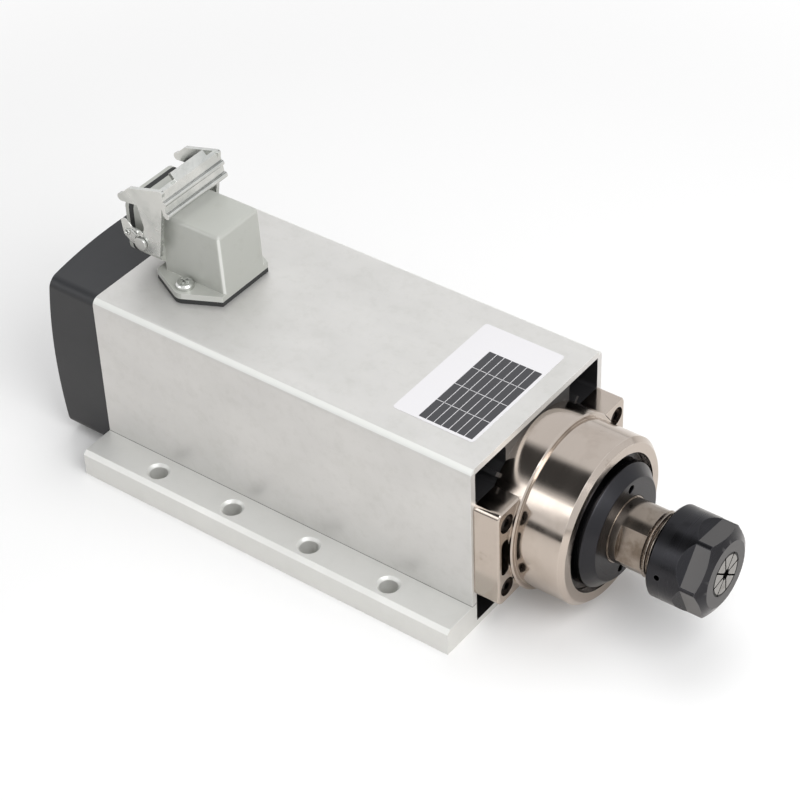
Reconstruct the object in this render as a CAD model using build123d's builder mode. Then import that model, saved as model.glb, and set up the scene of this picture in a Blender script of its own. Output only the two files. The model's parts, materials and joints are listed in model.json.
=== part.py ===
"""Square air-cooled milling motor spindle with a collet nose and a side-entry connector.

Frame: +X along the shaft towards the nose, +Z up, origin on the underside of the feet,
in the middle of the eight mounting holes. All sizes are in millimetres.
"""

import os
from math import atan2, cos, degrees, radians, sin, tan

from build123d import *

# ---------------------------------------------------------------- driving dimensions
# Extruded body
body_length = 168
body_width = 80
body_height = 73
body_corner_r = 3
body_wall = 2.7
stator_bore_r = 29
tube_wall = 3.5
web_width = 38.8
duct_corner_r = 1.5
fin_height = 3
fin_thickness = 1.6
fin_spread = 13
foot_span = 110
foot_thickness = 11
foot_chamfer = 1.6
foot_hole_d = 7
foot_hole_chamfer = 1
foot_hole_pitch = 35.5
foot_holes_per_side = 4

# Front bearing seat: round flange with two ears and a round boss
flange_thickness = 10.5
flange_ear_width = 78
flange_ear_height = 41.4
flange_corner_r = 2.5
flange_edge = 0.5
disc_r = 33.3
disc_standout = 1.3
disc_chamfer = 0.5
boss_r = 31.5
boss_length = 20.5
boss_edge = 1.8
spigot_length = 12
side_slot_length = 15.6
side_slot_width = 4.4
side_slot_y = 35.2

# Flange screws, shared hole pattern at both ends of the body
end_screw_y = 34
end_screw_z = 14.5
end_screw_r = 2
end_screw_head_r = 3.5
end_screw_head_h = 4
end_screw_socket = 3
socket_depth = 2.2
end_screw_bite = 14
counterbore_gap = 0.15
front_counterbore_depth = 7.5

# Front bearing, double row
front_bearing_r = 23.5
front_bearing_bore_r = 12.5
front_bearing_width = 24
front_lip = 3
front_cage_width = 20

# Rear bearing
rear_bearing_r = 17.5
rear_bearing_bore_r = 7.5
rear_bearing_width = 11
rear_cage_width = 8

race_thickness_share = 0.27

# Retaining ring in the boss
ring_thread_r = 26.1
ring_thread_length = 7.5
ring_body_r = 23.3
ring_neck_length = 5.3
ring_standout = 1.8
ring_face_r = 19.5
ring_cone_length = 3.7
ring_relief_depth = 3
spanner_hole_r = 1.6
spanner_hole_circle_r = 16.4
spanner_hole_depth = 3
spanner_hole_turn = 9

# Shaft
nose_r = 12
shaft_shoulder_r = 15.5
shaft_shoulder_width = 9
rotor_seat_r = 12.2
rear_step_r = 10
fan_seat_r = 5
fan_seat_length = 17
wrench_flat_across = 19.6
wrench_flat_length = 10
wrench_flat_x = 3
wrench_flat_turn = 15
nose_length = 13
thread_r = 12.4
thread_pitch = 1.5
thread_depth = 0.7
thread_land = 0.3
thread_exposed = 5
taper_angle = 8
taper_mouth_r = 9.9
taper_length = 23
draw_bore_r = 6.4
draw_bore_length = 18

# Collet nut
nut_length = 21.5
nut_r = 17
nut_hex_across = 30
nut_hex_turn = 37
nut_flat_length = 5.4
nut_flat_runout = 3.2
nut_cone_length = 2.4
nut_face_r = 12.5
nut_aperture_r = 8.3
nut_aperture_land = 1.4
nut_cone_half_angle = 30
nut_rear_chamfer = 0.8
nut_pocket_width = 1.6
nut_lip_width = 1.8
nut_lip_r = 9.55
balance_hole_r = 1.1
balance_hole_depth = 2.5
balance_hole_x = 4.6
balance_hole_turn = 8

# Collet
collet_length = 31.5
collet_head_r = 10.4
collet_groove_depth = 0.6
collet_bore_r = 1.5875
collet_relief_r = 4
collet_relief_length = 14
collet_slots = 8
collet_slot_width = 0.7
collet_slot_length = 22
collet_slot_turn = 39

# Motor
stator_slots = 12
stator_slot_width = 5
stator_slot_depth = 6.5
stator_tooth_lip = 1
rotor_r = 16.9
air_gap = 0.35
end_ring_r = 16.4
end_ring_width = 5
winding_rear_overhang = 18
winding_front_overhang = 14
winding_rear_space = 14
winding_front_space = 2
winding_inner_r = 18.5
winding_outer_r = 27.5
winding_bevel = 2.5

# Rear bearing seat
rear_plate_thickness = 3
rear_plate_width = 73
rear_plate_r = 30.2
rear_lip_width = 3
rear_lip_r = 14.5
spring_washer_thickness = 1.5
circlip_width = 1.2
circlip_depth = 1
circlip_gap = 10
rear_seat_margin = 1.3

# Fan
fan_neck_r = 8
fan_hub_r = 11
fan_hub_length = 10
fan_r = 29
fan_blades = 7
fan_blade_thickness = 1.8
fan_blade_width = 8
fan_blade_pitch = 32
fan_blade_root = 1
fan_screw_r = 2.5
fan_screw_head_r = 4.6
fan_screw_head_h = 2.8
fan_screw_length = 12

# Rear cover
cover_depth = 28.2
cover_width = 79
cover_top = 72.7
cover_bottom = 3.5
cover_corner_r = 4
cover_wall = 2.4
cover_dome_r = 210
cover_post_r = 4.2
cover_cavity_depth = 19
cover_cavity_corner_r = 2.5
cover_screw_seat = 13
grille_r = 30
grille_recess = 3
grille_margin = 2
grille_slot_height = 3
grille_pitch = 5
grille_rows = 11
grille_rib_width = 3

# Side-entry connector
connector_setback = 27
connector_y = -3.5
gasket_thickness = 2
plate_thickness = 2.4
plate_half_length = 15.5
plate_side_half = 13
plate_tip_half = 20.6
plate_tip_r = 4
plate_side_r = 2
plug_body_width = 23
plug_body_height = 24.6
plug_body_front = 15.5
plug_body_draft = 0.8
plug_body_r = 1.6
mouth_top_height = 27.5
mouth_width = 27.6
mouth_height = 24
mouth_r = 4
tunnel_r = 2.5
mouth_reach = 27
mouth_length = 15
mouth_wall = 3.8
mouth_depth = 12.5
plug_wall = 2.5
well_width = 15
seal_width = 2.3
seal_depth = 1.2
seal_setback = 1.6
insert_length = 10
insert_setback = 16
pin_r = 1.25
pin_spacing = 8.4
pin_length = 18
lead_r = 2.5
lead_inset = 0.3
lead_hole_r = 5
plug_screw_y = 15.4
plug_screw_r = 2
plug_screw_head_r = 3.5
plug_screw_head_h = 2.2
plug_screw_length = 9
plug_screw_slot = 1
plug_screw_slot_length = 4

# Locking lever: reaches towards the nose and heights are counted from its pivot
pivot_back = 8.8
pivot_height = 9.1
pivot_pad_r = 3.4
pivot_pad_h = 0.8
stud_r = 1.6
stud_head_r = 2.6
stud_head_h = 1.2
stud_depth = 2.2
lever_sheet = 1.6
lever_side_gap = 0.15
lever_eye_r = 3.4
lever_reach = 12.7
lever_height = 27
lever_top_fall = 3.4
lever_top_rear = 0.6
lever_neck_rear = -0.4
lever_neck_height = 16.2
lever_waist_rear = 1.8
lever_waist_height = 7.5
lever_foot_reach = 8.2
lever_foot_drop = 3.3
lever_foot_r = 3
lever_corner_r = 1
ear_reach = 3.8
ear_fall = 1.1
hook_reach = 8
hook_height = 17
hook_r = 1.6
web_ledge = 2
web_drop = 1
web_lean = 0.9
web_channel_height = 21.5
web_lip_height = 16.7
web_lip_reach = 1
web_roll_r = 1.2
web_rib_r = 1.1
tab_width = 17.7
tab_rise = 2.9
tab_back = 2.6
tab_offset = 1.4

# Clearances
fit_gap = 0.03
running_gap = 0.08
taper_gap = 0.1
pocket_gap = 0.2
slip_gap = 0.3
cage_gap = 0.25
screw_hole_spare = 1

# ---------------------------------------------------------------- derived places
axis_z = body_height / 2
front_x = body_length / 2
rear_x = -front_x
inner_half_y = body_width / 2 - body_wall
inner_half_z = axis_z - body_wall
tube_r = stator_bore_r + tube_wall
flange_front_x = front_x + flange_thickness
boss_front_x = flange_front_x + boss_length
front_bearing_front_x = boss_front_x + ring_standout - ring_thread_length - ring_neck_length
front_bearing_rear_x = front_bearing_front_x - front_bearing_width
ring_front_x = boss_front_x + ring_standout + ring_cone_length
shaft_axis = Axis((0, 0, axis_z), (1, 0, 0))


def across(x):
    """Sketch plane square to the shaft at station x: local x is +Y and local y is +Z."""
    return Plane(origin=(x, 0, axis_z), x_dir=(0, 1, 0), z_dir=(1, 0, 0))


def along(y=0, x=0, z=axis_z):
    """Upright sketch plane along the shaft at y: local x is +X and local y is +Z."""
    return Plane(origin=(x, y, z), x_dir=(1, 0, 0), z_dir=(0, -1, 0))


def turned(points):
    """Solid of revolution about the shaft axis from (x, radius) points."""
    with BuildPart() as body:
        with BuildSketch(along()):
            with BuildLine():
                Polyline(*points, close=True)
            make_face()
        revolve(axis=shaft_axis)
    return body.part


def washer(x, length, outer_r, inner_r):
    """Plain ring about the shaft axis, starting at x and reaching towards the nose."""
    return turned([(x, inner_r), (x + length, inner_r), (x + length, outer_r), (x, outer_r)])


def corners(y, z):
    """The four places at plus and minus y and z from the shaft axis."""
    return [(sy * y, sz * z) for sy in (-1, 1) for sz in (-1, 1)]


# ---------------------------------------------------------------- extruded body
connector_x = rear_x + connector_setback
plug_base_z = body_height + gasket_thickness
plug_well_front_x = connector_x + plug_body_front - plug_body_draft - plug_wall
lead_x = plug_well_front_x - lead_r - lead_inset
lead_hole_place = (lead_x, connector_y)
plug_screw_places = [(connector_x, connector_y + side * plug_screw_y) for side in (-1, 1)]
foot_hole_rows = (body_width + foot_span) / 2
foot_hole_places = GridLocations(foot_hole_pitch, foot_hole_rows, foot_holes_per_side, 2).locations

with BuildPart() as housing:
    with BuildSketch(across(rear_x)):
        RectangleRounded(body_width, body_height, body_corner_r)
        with Locations((0, foot_thickness / 2 - axis_z)):
            Rectangle(foot_span, foot_thickness)
    extrude(amount=body_length)
    top_foot_edges = [
        edge
        for edge in housing.edges().filter_by(Axis.X)
        if abs(edge.center().Z - foot_thickness) < 0.01 and abs(edge.center().Y) > body_width / 2 + 1
    ]
    chamfer(top_foot_edges, foot_chamfer)
    with BuildSketch(across(rear_x)) as duct_section:
        Rectangle(2 * inner_half_y, 2 * inner_half_z)
        Rectangle(web_width, 2 * inner_half_z, mode=Mode.SUBTRACT)
        Rectangle(2 * inner_half_y, flange_ear_height, mode=Mode.SUBTRACT)
        Circle(tube_r, mode=Mode.SUBTRACT)
        fillet(duct_section.vertices(), duct_corner_r)
        for quarter in (45, 135, 225, 315):
            for turn in (-fin_spread, 0, fin_spread):
                with PolarLocations(tube_r, 1, start_angle=quarter + turn):
                    Rectangle(2 * fin_height, fin_thickness, mode=Mode.SUBTRACT)
        with Locations((side_slot_y, 0), (-side_slot_y, 0)):
            SlotOverall(side_slot_length, side_slot_width, rotation=90)
        with Locations(corners(end_screw_y, end_screw_z)):
            Circle(end_screw_r + fit_gap)
        Circle(stator_bore_r)
    extrude(amount=body_length, mode=Mode.SUBTRACT)
    with BuildSketch(Plane.XY.offset(axis_z)):
        with Locations(lead_hole_place):
            Circle(lead_hole_r)
    extrude(amount=axis_z, mode=Mode.SUBTRACT)
    with BuildSketch(Plane.XY.offset(body_height)):
        with Locations(plug_screw_places):
            Circle(plug_screw_r + fit_gap)
    extrude(amount=-(plug_screw_length - plate_thickness), mode=Mode.SUBTRACT)
    with Locations(Plane.XY.offset(foot_thickness)):
        with Locations(foot_hole_places):
            CounterSinkHole(foot_hole_d / 2, foot_hole_d / 2 + foot_hole_chamfer, foot_thickness)

# ---------------------------------------------------------------- front bearing seat
spigot_rear_x = front_x - spigot_length

with BuildPart() as front_bearing_seat:
    with BuildSketch(across(front_x)):
        RectangleRounded(flange_ear_width, flange_ear_height, flange_corner_r)
    extrude(amount=flange_thickness)
    chamfer(front_bearing_seat.faces().sort_by(Axis.X)[-1].edges(), flange_edge)
    with BuildSketch(along()):
        with BuildLine():
            Polyline(
                (spigot_rear_x, 0),
                (spigot_rear_x, stator_bore_r - fit_gap),
                (front_x, stator_bore_r - fit_gap),
                (front_x, disc_r),
                (flange_front_x + disc_standout - disc_chamfer, disc_r),
                (flange_front_x + disc_standout, disc_r - disc_chamfer),
                (flange_front_x + disc_standout, boss_r),
                (boss_front_x, boss_r),
                (boss_front_x, 0),
                close=True,
            )
        make_face()
    revolve(axis=shaft_axis)
    chamfer(front_bearing_seat.faces().sort_by(Axis.X)[-1].edges(), boss_edge)
    with BuildSketch(along()):
        with BuildLine():
            Polyline(
                (spigot_rear_x, 0),
                (spigot_rear_x, front_bearing_r - front_lip),
                (front_bearing_rear_x, front_bearing_r - front_lip),
                (front_bearing_rear_x, front_bearing_r + fit_gap),
                (front_bearing_front_x, front_bearing_r + fit_gap),
                (front_bearing_front_x, ring_thread_r + running_gap),
                (boss_front_x, ring_thread_r + running_gap),
                (boss_front_x, 0),
                close=True,
            )
        make_face()
    revolve(axis=shaft_axis, mode=Mode.SUBTRACT)
    with BuildSketch(across(flange_front_x + disc_standout)):
        with Locations(corners(end_screw_y, end_screw_z)):
            Circle(end_screw_head_r + counterbore_gap)
    extrude(amount=-(front_counterbore_depth + disc_standout), mode=Mode.SUBTRACT)
    with BuildSketch(across(flange_front_x)):
        with Locations(corners(end_screw_y, end_screw_z)):
            Circle(end_screw_r + counterbore_gap)
        with Locations((side_slot_y, 0), (-side_slot_y, 0)):
            SlotOverall(side_slot_length, side_slot_width, rotation=90)
    extrude(amount=-flange_thickness, mode=Mode.SUBTRACT)


def cap_screws(head_x, towards, places, shank_length, head_r, head_h, shank_r, socket):
    """Socket cap screws: heads start at head_x, shanks run the way of towards (+1 or -1)."""
    with BuildPart() as screws:
        with BuildSketch(across(head_x)):
            with Locations(places):
                Circle(head_r)
        extrude(amount=-towards * head_h)
        with BuildSketch(across(head_x)):
            with Locations(places):
                Circle(shank_r)
        extrude(amount=towards * shank_length)
        with BuildSketch(across(head_x - towards * head_h)):
            with Locations(places):
                RegularPolygon(socket / 2, 6, major_radius=False)
        extrude(amount=towards * socket_depth, mode=Mode.SUBTRACT)
    return screws.part


front_head_x = flange_front_x - front_counterbore_depth
flange_screws = cap_screws(
    front_head_x, -1, corners(end_screw_y, end_screw_z), front_head_x - front_x + end_screw_bite,
    end_screw_head_r, end_screw_head_h, end_screw_r, end_screw_socket,
)


# ---------------------------------------------------------------- bearings
def race_radii(outer_r, bore_r):
    """Inner land of the outer ring and outer land of the inner ring."""
    ring = (outer_r - bore_r) * race_thickness_share
    return outer_r - ring, bore_r + ring


def bearing(x, width, cage_width, outer_r, bore_r):
    """Outer ring, inner ring and ball cage of a bearing that starts at x."""
    outer_land, inner_land = race_radii(outer_r, bore_r)
    cage_x = x + (width - cage_width) / 2
    outer_ring = washer(x, width, outer_r, outer_land)
    inner_ring = washer(x, width, inner_land, bore_r + fit_gap)
    cage = washer(cage_x, cage_width, outer_land - cage_gap, inner_land + cage_gap)
    return outer_ring, inner_ring, cage


front_outer_ring, front_inner_ring, front_ball_cage = bearing(
    front_bearing_rear_x, front_bearing_width, front_cage_width, front_bearing_r,
    front_bearing_bore_r,
)

circlip_front_x = rear_x + rear_seat_margin + circlip_width
rear_bearing_rear_x = circlip_front_x
rear_bearing_front_x = rear_bearing_rear_x + rear_bearing_width
rear_outer_ring, rear_inner_ring, rear_ball_cage = bearing(
    rear_bearing_rear_x, rear_bearing_width, rear_cage_width, rear_bearing_r, rear_bearing_bore_r
)
spring_washer = washer(
    rear_bearing_front_x, spring_washer_thickness, rear_bearing_r - fit_gap, rear_lip_r
)

# ---------------------------------------------------------------- retaining ring
front_outer_land, front_inner_land = race_radii(front_bearing_r, front_bearing_bore_r)
ring_rear_x = front_bearing_front_x

with BuildPart() as retaining_ring:
    with BuildSketch(along()):
        with BuildLine():
            Polyline(
                (ring_rear_x, front_outer_land),
                (ring_rear_x, ring_thread_r),
                (ring_rear_x + ring_thread_length, ring_thread_r),
                (ring_rear_x + ring_thread_length, ring_body_r),
                (ring_front_x - ring_cone_length, ring_body_r),
                (ring_front_x, ring_face_r),
                (ring_front_x, front_bearing_bore_r + running_gap),
                (ring_rear_x + ring_relief_depth, front_bearing_bore_r + running_gap),
                (ring_rear_x + ring_relief_depth, front_outer_land),
                close=True,
            )
        make_face()
    revolve(axis=shaft_axis)
    with BuildSketch(across(ring_front_x)):
        with PolarLocations(spanner_hole_circle_r, 2, start_angle=90 - spanner_hole_turn):
            Circle(spanner_hole_r)
    extrude(amount=-spanner_hole_depth, mode=Mode.SUBTRACT)

# ---------------------------------------------------------------- shaft
nose_start_x = ring_front_x
thread_start_x = nose_start_x + nose_length
nut_rear_x = thread_start_x + thread_exposed
nut_front_x = nut_rear_x + nut_length
nut_pocket_r = collet_head_r + pocket_gap
nut_cone_inner = (nut_pocket_r - nut_aperture_r) / tan(radians(nut_cone_half_angle))
nut_pocket_x = nut_front_x - nut_aperture_land - nut_cone_inner
nut_lip_x = nut_pocket_x - nut_pocket_width
shaft_front_x = nut_lip_x - nut_lip_width - slip_gap
rear_lip_x = rear_bearing_front_x + spring_washer_thickness
rear_seat_front_x = rear_lip_x + rear_lip_width
stator_front_x = spigot_rear_x - winding_front_space - winding_front_overhang
stator_rear_x = rear_seat_front_x + winding_rear_space + winding_rear_overhang
stator_length = stator_front_x - stator_rear_x
shaft_step_x = stator_rear_x - end_ring_width
journal_rear_x = rear_bearing_rear_x
shaft_rear_x = journal_rear_x - fan_seat_length
shoulder_rear_x = front_bearing_rear_x - shaft_shoulder_width
taper_end_r = taper_mouth_r - taper_length * tan(radians(taper_angle))
thread_crests = int(thread_exposed // thread_pitch)


def thread_profile(start, count, crest_r):
    """Valley points of count thread grooves, from start towards the nose."""
    points = []
    for turn in range(count):
        x = start + turn * thread_pitch
        points += [
            (x + thread_land, crest_r),
            (x + (thread_land + thread_pitch) / 2, crest_r - thread_depth),
            (x + thread_pitch, crest_r),
        ]
    return points


with BuildPart() as shaft:
    with BuildSketch(along()):
        with BuildLine():
            Polyline(
                (shaft_rear_x, 0),
                (shaft_rear_x, fan_seat_r),
                (journal_rear_x, fan_seat_r),
                (journal_rear_x, rear_bearing_bore_r),
                (rear_bearing_front_x, rear_bearing_bore_r),
                (rear_bearing_front_x, rear_step_r),
                (shaft_step_x, rear_step_r),
                (shaft_step_x, rotor_seat_r),
                (shoulder_rear_x, rotor_seat_r),
                (shoulder_rear_x, shaft_shoulder_r),
                (front_bearing_rear_x, shaft_shoulder_r),
                (front_bearing_rear_x, front_bearing_bore_r),
                (nose_start_x, front_bearing_bore_r),
                (nose_start_x, nose_r),
                (thread_start_x, nose_r),
                *thread_profile(thread_start_x, thread_crests, thread_r),
                (shaft_front_x - thread_depth, thread_r),
                (shaft_front_x, thread_r - thread_depth),
                (shaft_front_x, 0),
                close=True,
            )
        make_face()
    revolve(axis=shaft_axis)
    with BuildSketch(along()):
        with BuildLine():
            Polyline(
                (shaft_front_x, 0),
                (shaft_front_x, taper_mouth_r),
                (shaft_front_x - taper_length, taper_end_r),
                (shaft_front_x - taper_length, draw_bore_r),
                (shaft_front_x - taper_length - draw_bore_length, draw_bore_r),
                (shaft_front_x - taper_length - draw_bore_length - draw_bore_r / 2, 0),
                close=True,
            )
        make_face()
    revolve(axis=shaft_axis, mode=Mode.SUBTRACT)
    with BuildSketch(across(nose_start_x + wrench_flat_x)):
        with PolarLocations(wrench_flat_across / 2 + nose_r, 2, start_angle=180 - wrench_flat_turn):
            Rectangle(2 * nose_r, 3 * nose_r)
    extrude(amount=wrench_flat_length, mode=Mode.SUBTRACT)
    with BuildSketch(across(shaft_rear_x)):
        Circle(fan_screw_r + fit_gap)
    extrude(amount=fan_screw_length + screw_hole_spare, mode=Mode.SUBTRACT)

# ---------------------------------------------------------------- rotor and stator
rotor_core = washer(stator_rear_x, stator_length, rotor_r, rotor_seat_r + fit_gap)

with BuildPart() as rotor_end_rings:
    add(washer(stator_front_x, end_ring_width, end_ring_r, rotor_seat_r + fit_gap))
    add(washer(shaft_step_x, end_ring_width, end_ring_r, rotor_seat_r + fit_gap))

stator_inner_r = rotor_r + air_gap
slot_centre_r = stator_inner_r + stator_tooth_lip + stator_slot_depth / 2

with BuildPart() as stator_core:
    with BuildSketch(across(stator_rear_x)):
        Circle(stator_bore_r - fit_gap)
        Circle(stator_inner_r, mode=Mode.SUBTRACT)
        with PolarLocations(slot_centre_r, stator_slots):
            Rectangle(stator_slot_depth, stator_slot_width, mode=Mode.SUBTRACT)
        with PolarLocations(stator_inner_r + stator_tooth_lip / 2, stator_slots):
            Rectangle(2 * stator_tooth_lip, stator_slot_width / 3, mode=Mode.SUBTRACT)
    extrude(amount=stator_length)


def winding_end(x, overhang):
    """Bevelled ring of end turns from the core's end at x, reaching overhang along the shaft."""
    bevel = winding_bevel if overhang > 0 else -winding_bevel
    return turned([
        (x, winding_inner_r),
        (x, winding_outer_r),
        (x + overhang - bevel, winding_outer_r),
        (x + overhang, winding_outer_r - winding_bevel),
        (x + overhang, winding_inner_r + winding_bevel),
        (x + overhang - bevel, winding_inner_r),
    ])


with BuildPart() as stator_windings:
    with BuildSketch(across(stator_rear_x)):
        with PolarLocations(slot_centre_r, stator_slots):
            Rectangle(stator_slot_depth - slip_gap, stator_slot_width - slip_gap)
    extrude(amount=stator_length)
    add(winding_end(stator_rear_x, -winding_rear_overhang))
    add(winding_end(stator_front_x, winding_front_overhang))

# ---------------------------------------------------------------- rear bearing seat
with BuildPart() as rear_bearing_seat:
    with BuildSketch(across(rear_x - rear_plate_thickness)):
        Rectangle(rear_plate_width, flange_ear_height - 2 * slip_gap)
        Circle(rear_plate_r)
        with Locations(corners(end_screw_y, end_screw_z)):
            Circle(end_screw_r + counterbore_gap, mode=Mode.SUBTRACT)
        with Locations((side_slot_y, 0), (-side_slot_y, 0)):
            SlotOverall(side_slot_length, side_slot_width, rotation=90, mode=Mode.SUBTRACT)
    extrude(amount=rear_plate_thickness)
    with BuildSketch(across(rear_x)):
        Circle(stator_bore_r - fit_gap)
    extrude(amount=rear_seat_front_x - rear_x)
    with BuildSketch(along()):
        with BuildLine():
            Polyline(
                (rear_x - rear_plate_thickness, 0),
                (rear_x - rear_plate_thickness, rear_bearing_r + fit_gap),
                (circlip_front_x - circlip_width, rear_bearing_r + fit_gap),
                (circlip_front_x - circlip_width, rear_bearing_r + circlip_depth + fit_gap),
                (circlip_front_x, rear_bearing_r + circlip_depth + fit_gap),
                (circlip_front_x, rear_bearing_r + fit_gap),
                (rear_lip_x, rear_bearing_r + fit_gap),
                (rear_lip_x, rear_lip_r),
                (rear_seat_front_x, rear_lip_r),
                (rear_seat_front_x, 0),
                close=True,
            )
        make_face()
    revolve(axis=shaft_axis, mode=Mode.SUBTRACT)

with BuildPart() as bearing_circlip:
    with BuildSketch(across(circlip_front_x - circlip_width)):
        Circle(rear_bearing_r + circlip_depth)
        Circle(rear_bearing_r - 1.5 * circlip_depth, mode=Mode.SUBTRACT)
        with Locations((0, -rear_bearing_r)):
            Rectangle(circlip_gap, 4 * circlip_depth, mode=Mode.SUBTRACT)
    extrude(amount=circlip_width)

# ---------------------------------------------------------------- fan
fan_rear_x = shaft_rear_x - slip_gap
fan_front_x = fan_rear_x + fan_hub_length

with BuildPart() as fan:
    with BuildSketch(across(fan_rear_x)):
        Circle(fan_hub_r)
        Circle(fan_seat_r + fit_gap, mode=Mode.SUBTRACT)
    extrude(amount=fan_hub_length)
    with BuildSketch(across(fan_front_x)):
        Circle(fan_neck_r)
        Circle(fan_seat_r + fit_gap, mode=Mode.SUBTRACT)
    extrude(amount=journal_rear_x - fan_front_x)
    fan_middle_x = fan_rear_x + fan_hub_length / 2
    pitch = radians(fan_blade_pitch)
    root_r = fan_hub_r - fan_blade_root
    for blade in range(fan_blades):
        turn = radians(blade * 360 / fan_blades)
        blade_plane = Plane(
            origin=(fan_middle_x, root_r * cos(turn), axis_z + root_r * sin(turn)),
            x_dir=(cos(pitch), -sin(pitch) * sin(turn), sin(pitch) * cos(turn)),
            z_dir=(0, cos(turn), sin(turn)),
        )
        with BuildSketch(blade_plane):
            Rectangle(fan_blade_width, fan_blade_thickness)
        extrude(amount=fan_r - root_r)

with BuildPart() as fan_screw:
    with BuildSketch(across(fan_rear_x)):
        Circle(fan_screw_head_r)
    extrude(amount=-fan_screw_head_h)
    chamfer(fan_screw.faces().sort_by(Axis.X)[0].edges(), fan_screw_head_h / 3)
    with BuildSketch(across(fan_rear_x)):
        Circle(fan_screw_r)
    extrude(amount=fan_screw_length)

# ---------------------------------------------------------------- rear cover
cover_centre_z = (cover_top + cover_bottom) / 2
cover_height = cover_top - cover_bottom
cover_rear_x = rear_x - cover_depth
cover_plane = Plane(origin=(rear_x, 0, cover_centre_z), x_dir=(0, -1, 0), z_dir=(-1, 0, 0))

grille_rear_x = cover_rear_x + grille_recess
cover_head_x = rear_x - cover_screw_seat

with BuildPart() as rear_cover:
    with BuildSketch(cover_plane):
        RectangleRounded(cover_width, cover_height, cover_corner_r)
    extrude(amount=cover_depth)
    with Locations((cover_rear_x + cover_dome_r, 0, cover_centre_z)):
        Sphere(cover_dome_r, mode=Mode.INTERSECT)
    with BuildSketch(cover_plane):
        RectangleRounded(cover_width - 2 * cover_wall, cover_height - 2 * cover_wall, cover_cavity_corner_r)
    extrude(amount=cover_cavity_depth, mode=Mode.SUBTRACT)
    with BuildSketch(across(rear_x)):
        Circle(grille_r)
    extrude(amount=-(rear_x - grille_rear_x - cover_wall), mode=Mode.SUBTRACT)
    with BuildSketch(across(grille_rear_x)):
        Circle(grille_r)
    extrude(amount=-cover_depth, mode=Mode.SUBTRACT)
    with BuildSketch(across(rear_x - rear_plate_thickness)):
        with Locations(corners(end_screw_y, end_screw_z)):
            Circle(cover_post_r)
    extrude(amount=-(cover_cavity_depth - rear_plate_thickness))
    with BuildSketch(across(rear_x)):
        with Locations(corners(end_screw_y, end_screw_z)):
            Circle(end_screw_r + counterbore_gap)
    extrude(amount=-cover_depth, mode=Mode.SUBTRACT)
    with BuildSketch(across(cover_head_x)):
        with Locations(corners(end_screw_y, end_screw_z)):
            Circle(end_screw_head_r + counterbore_gap)
    extrude(amount=-cover_depth, mode=Mode.SUBTRACT)
    with BuildSketch(across(grille_rear_x)):
        for row in range(grille_rows):
            height = (row - (grille_rows - 1) / 2) * grille_pitch
            reach = ((grille_r - grille_margin) ** 2 - height**2) ** 0.5
            length = reach - grille_rib_width / 2
            middle = (reach + grille_rib_width / 2) / 2
            with Locations((-middle, height), (middle, height)):
                Rectangle(length, grille_slot_height)
    extrude(amount=cover_wall, mode=Mode.SUBTRACT)

cover_screws = cap_screws(
    cover_head_x, 1, corners(end_screw_y, end_screw_z), cover_screw_seat + end_screw_bite,
    end_screw_head_r, end_screw_head_h, end_screw_r, end_screw_socket,
)

# ---------------------------------------------------------------- collet nut and collet
nut_flat_front_x = nut_front_x - nut_cone_length
runout_angle = degrees(atan2(nut_r - nut_hex_across / 2, nut_flat_runout))

with BuildPart() as collet_nut:
    with BuildSketch(along()):
        with BuildLine():
            Polyline(
                (nut_rear_x, 0),
                (nut_rear_x, nut_r - nut_rear_chamfer),
                (nut_rear_x + nut_rear_chamfer, nut_r),
                (nut_flat_front_x, nut_r),
                (nut_front_x, nut_face_r),
                (nut_front_x, 0),
                close=True,
            )
        make_face()
    revolve(axis=shaft_axis)
    with BuildSketch(across(nut_flat_front_x - nut_flat_length)):
        Circle(nut_r + nut_flat_runout)
        RegularPolygon(nut_hex_across / 2, 6, major_radius=False, rotation=90 - nut_hex_turn,
                       mode=Mode.SUBTRACT)
    extrude(amount=nut_length, mode=Mode.SUBTRACT)
    with BuildSketch(across(nut_flat_front_x - nut_flat_length)):
        Circle(nut_r + nut_flat_runout)
        RegularPolygon(nut_hex_across / 2, 6, major_radius=False, rotation=90 - nut_hex_turn,
                       mode=Mode.SUBTRACT)
    extrude(amount=-nut_flat_runout, taper=runout_angle, mode=Mode.SUBTRACT)
    with BuildSketch(along()):
        with BuildLine():
            Polyline(
                (nut_rear_x, 0),
                (nut_rear_x, thread_r + running_gap),
                (shaft_front_x + slip_gap, thread_r + running_gap),
                (shaft_front_x + slip_gap, nut_lip_r),
                (nut_lip_x, nut_lip_r),
                (nut_lip_x, nut_pocket_r),
                (nut_pocket_x, nut_pocket_r),
                (nut_front_x - nut_aperture_land, nut_aperture_r),
                (nut_front_x, nut_aperture_r),
                (nut_front_x, 0),
                close=True,
            )
        make_face()
    revolve(axis=shaft_axis, mode=Mode.SUBTRACT)
    hole_turn = radians(balance_hole_turn)
    hole_plane = Plane(
        origin=(nut_rear_x + balance_hole_x, -nut_r * cos(hole_turn), axis_z + nut_r * sin(hole_turn)),
        x_dir=(1, 0, 0),
        z_dir=(0, -cos(hole_turn), sin(hole_turn)),
    )
    with BuildSketch(hole_plane):
        Circle(balance_hole_r)
    extrude(amount=-balance_hole_depth, mode=Mode.SUBTRACT)

collet_rear_x = nut_front_x - collet_length
collet_taper_x = shaft_front_x
collet_mouth_r = taper_mouth_r - taper_gap
collet_rear_r = collet_mouth_r - (collet_taper_x - collet_rear_x) * tan(radians(taper_angle))
collet_face_r = nut_aperture_r - taper_gap

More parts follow.
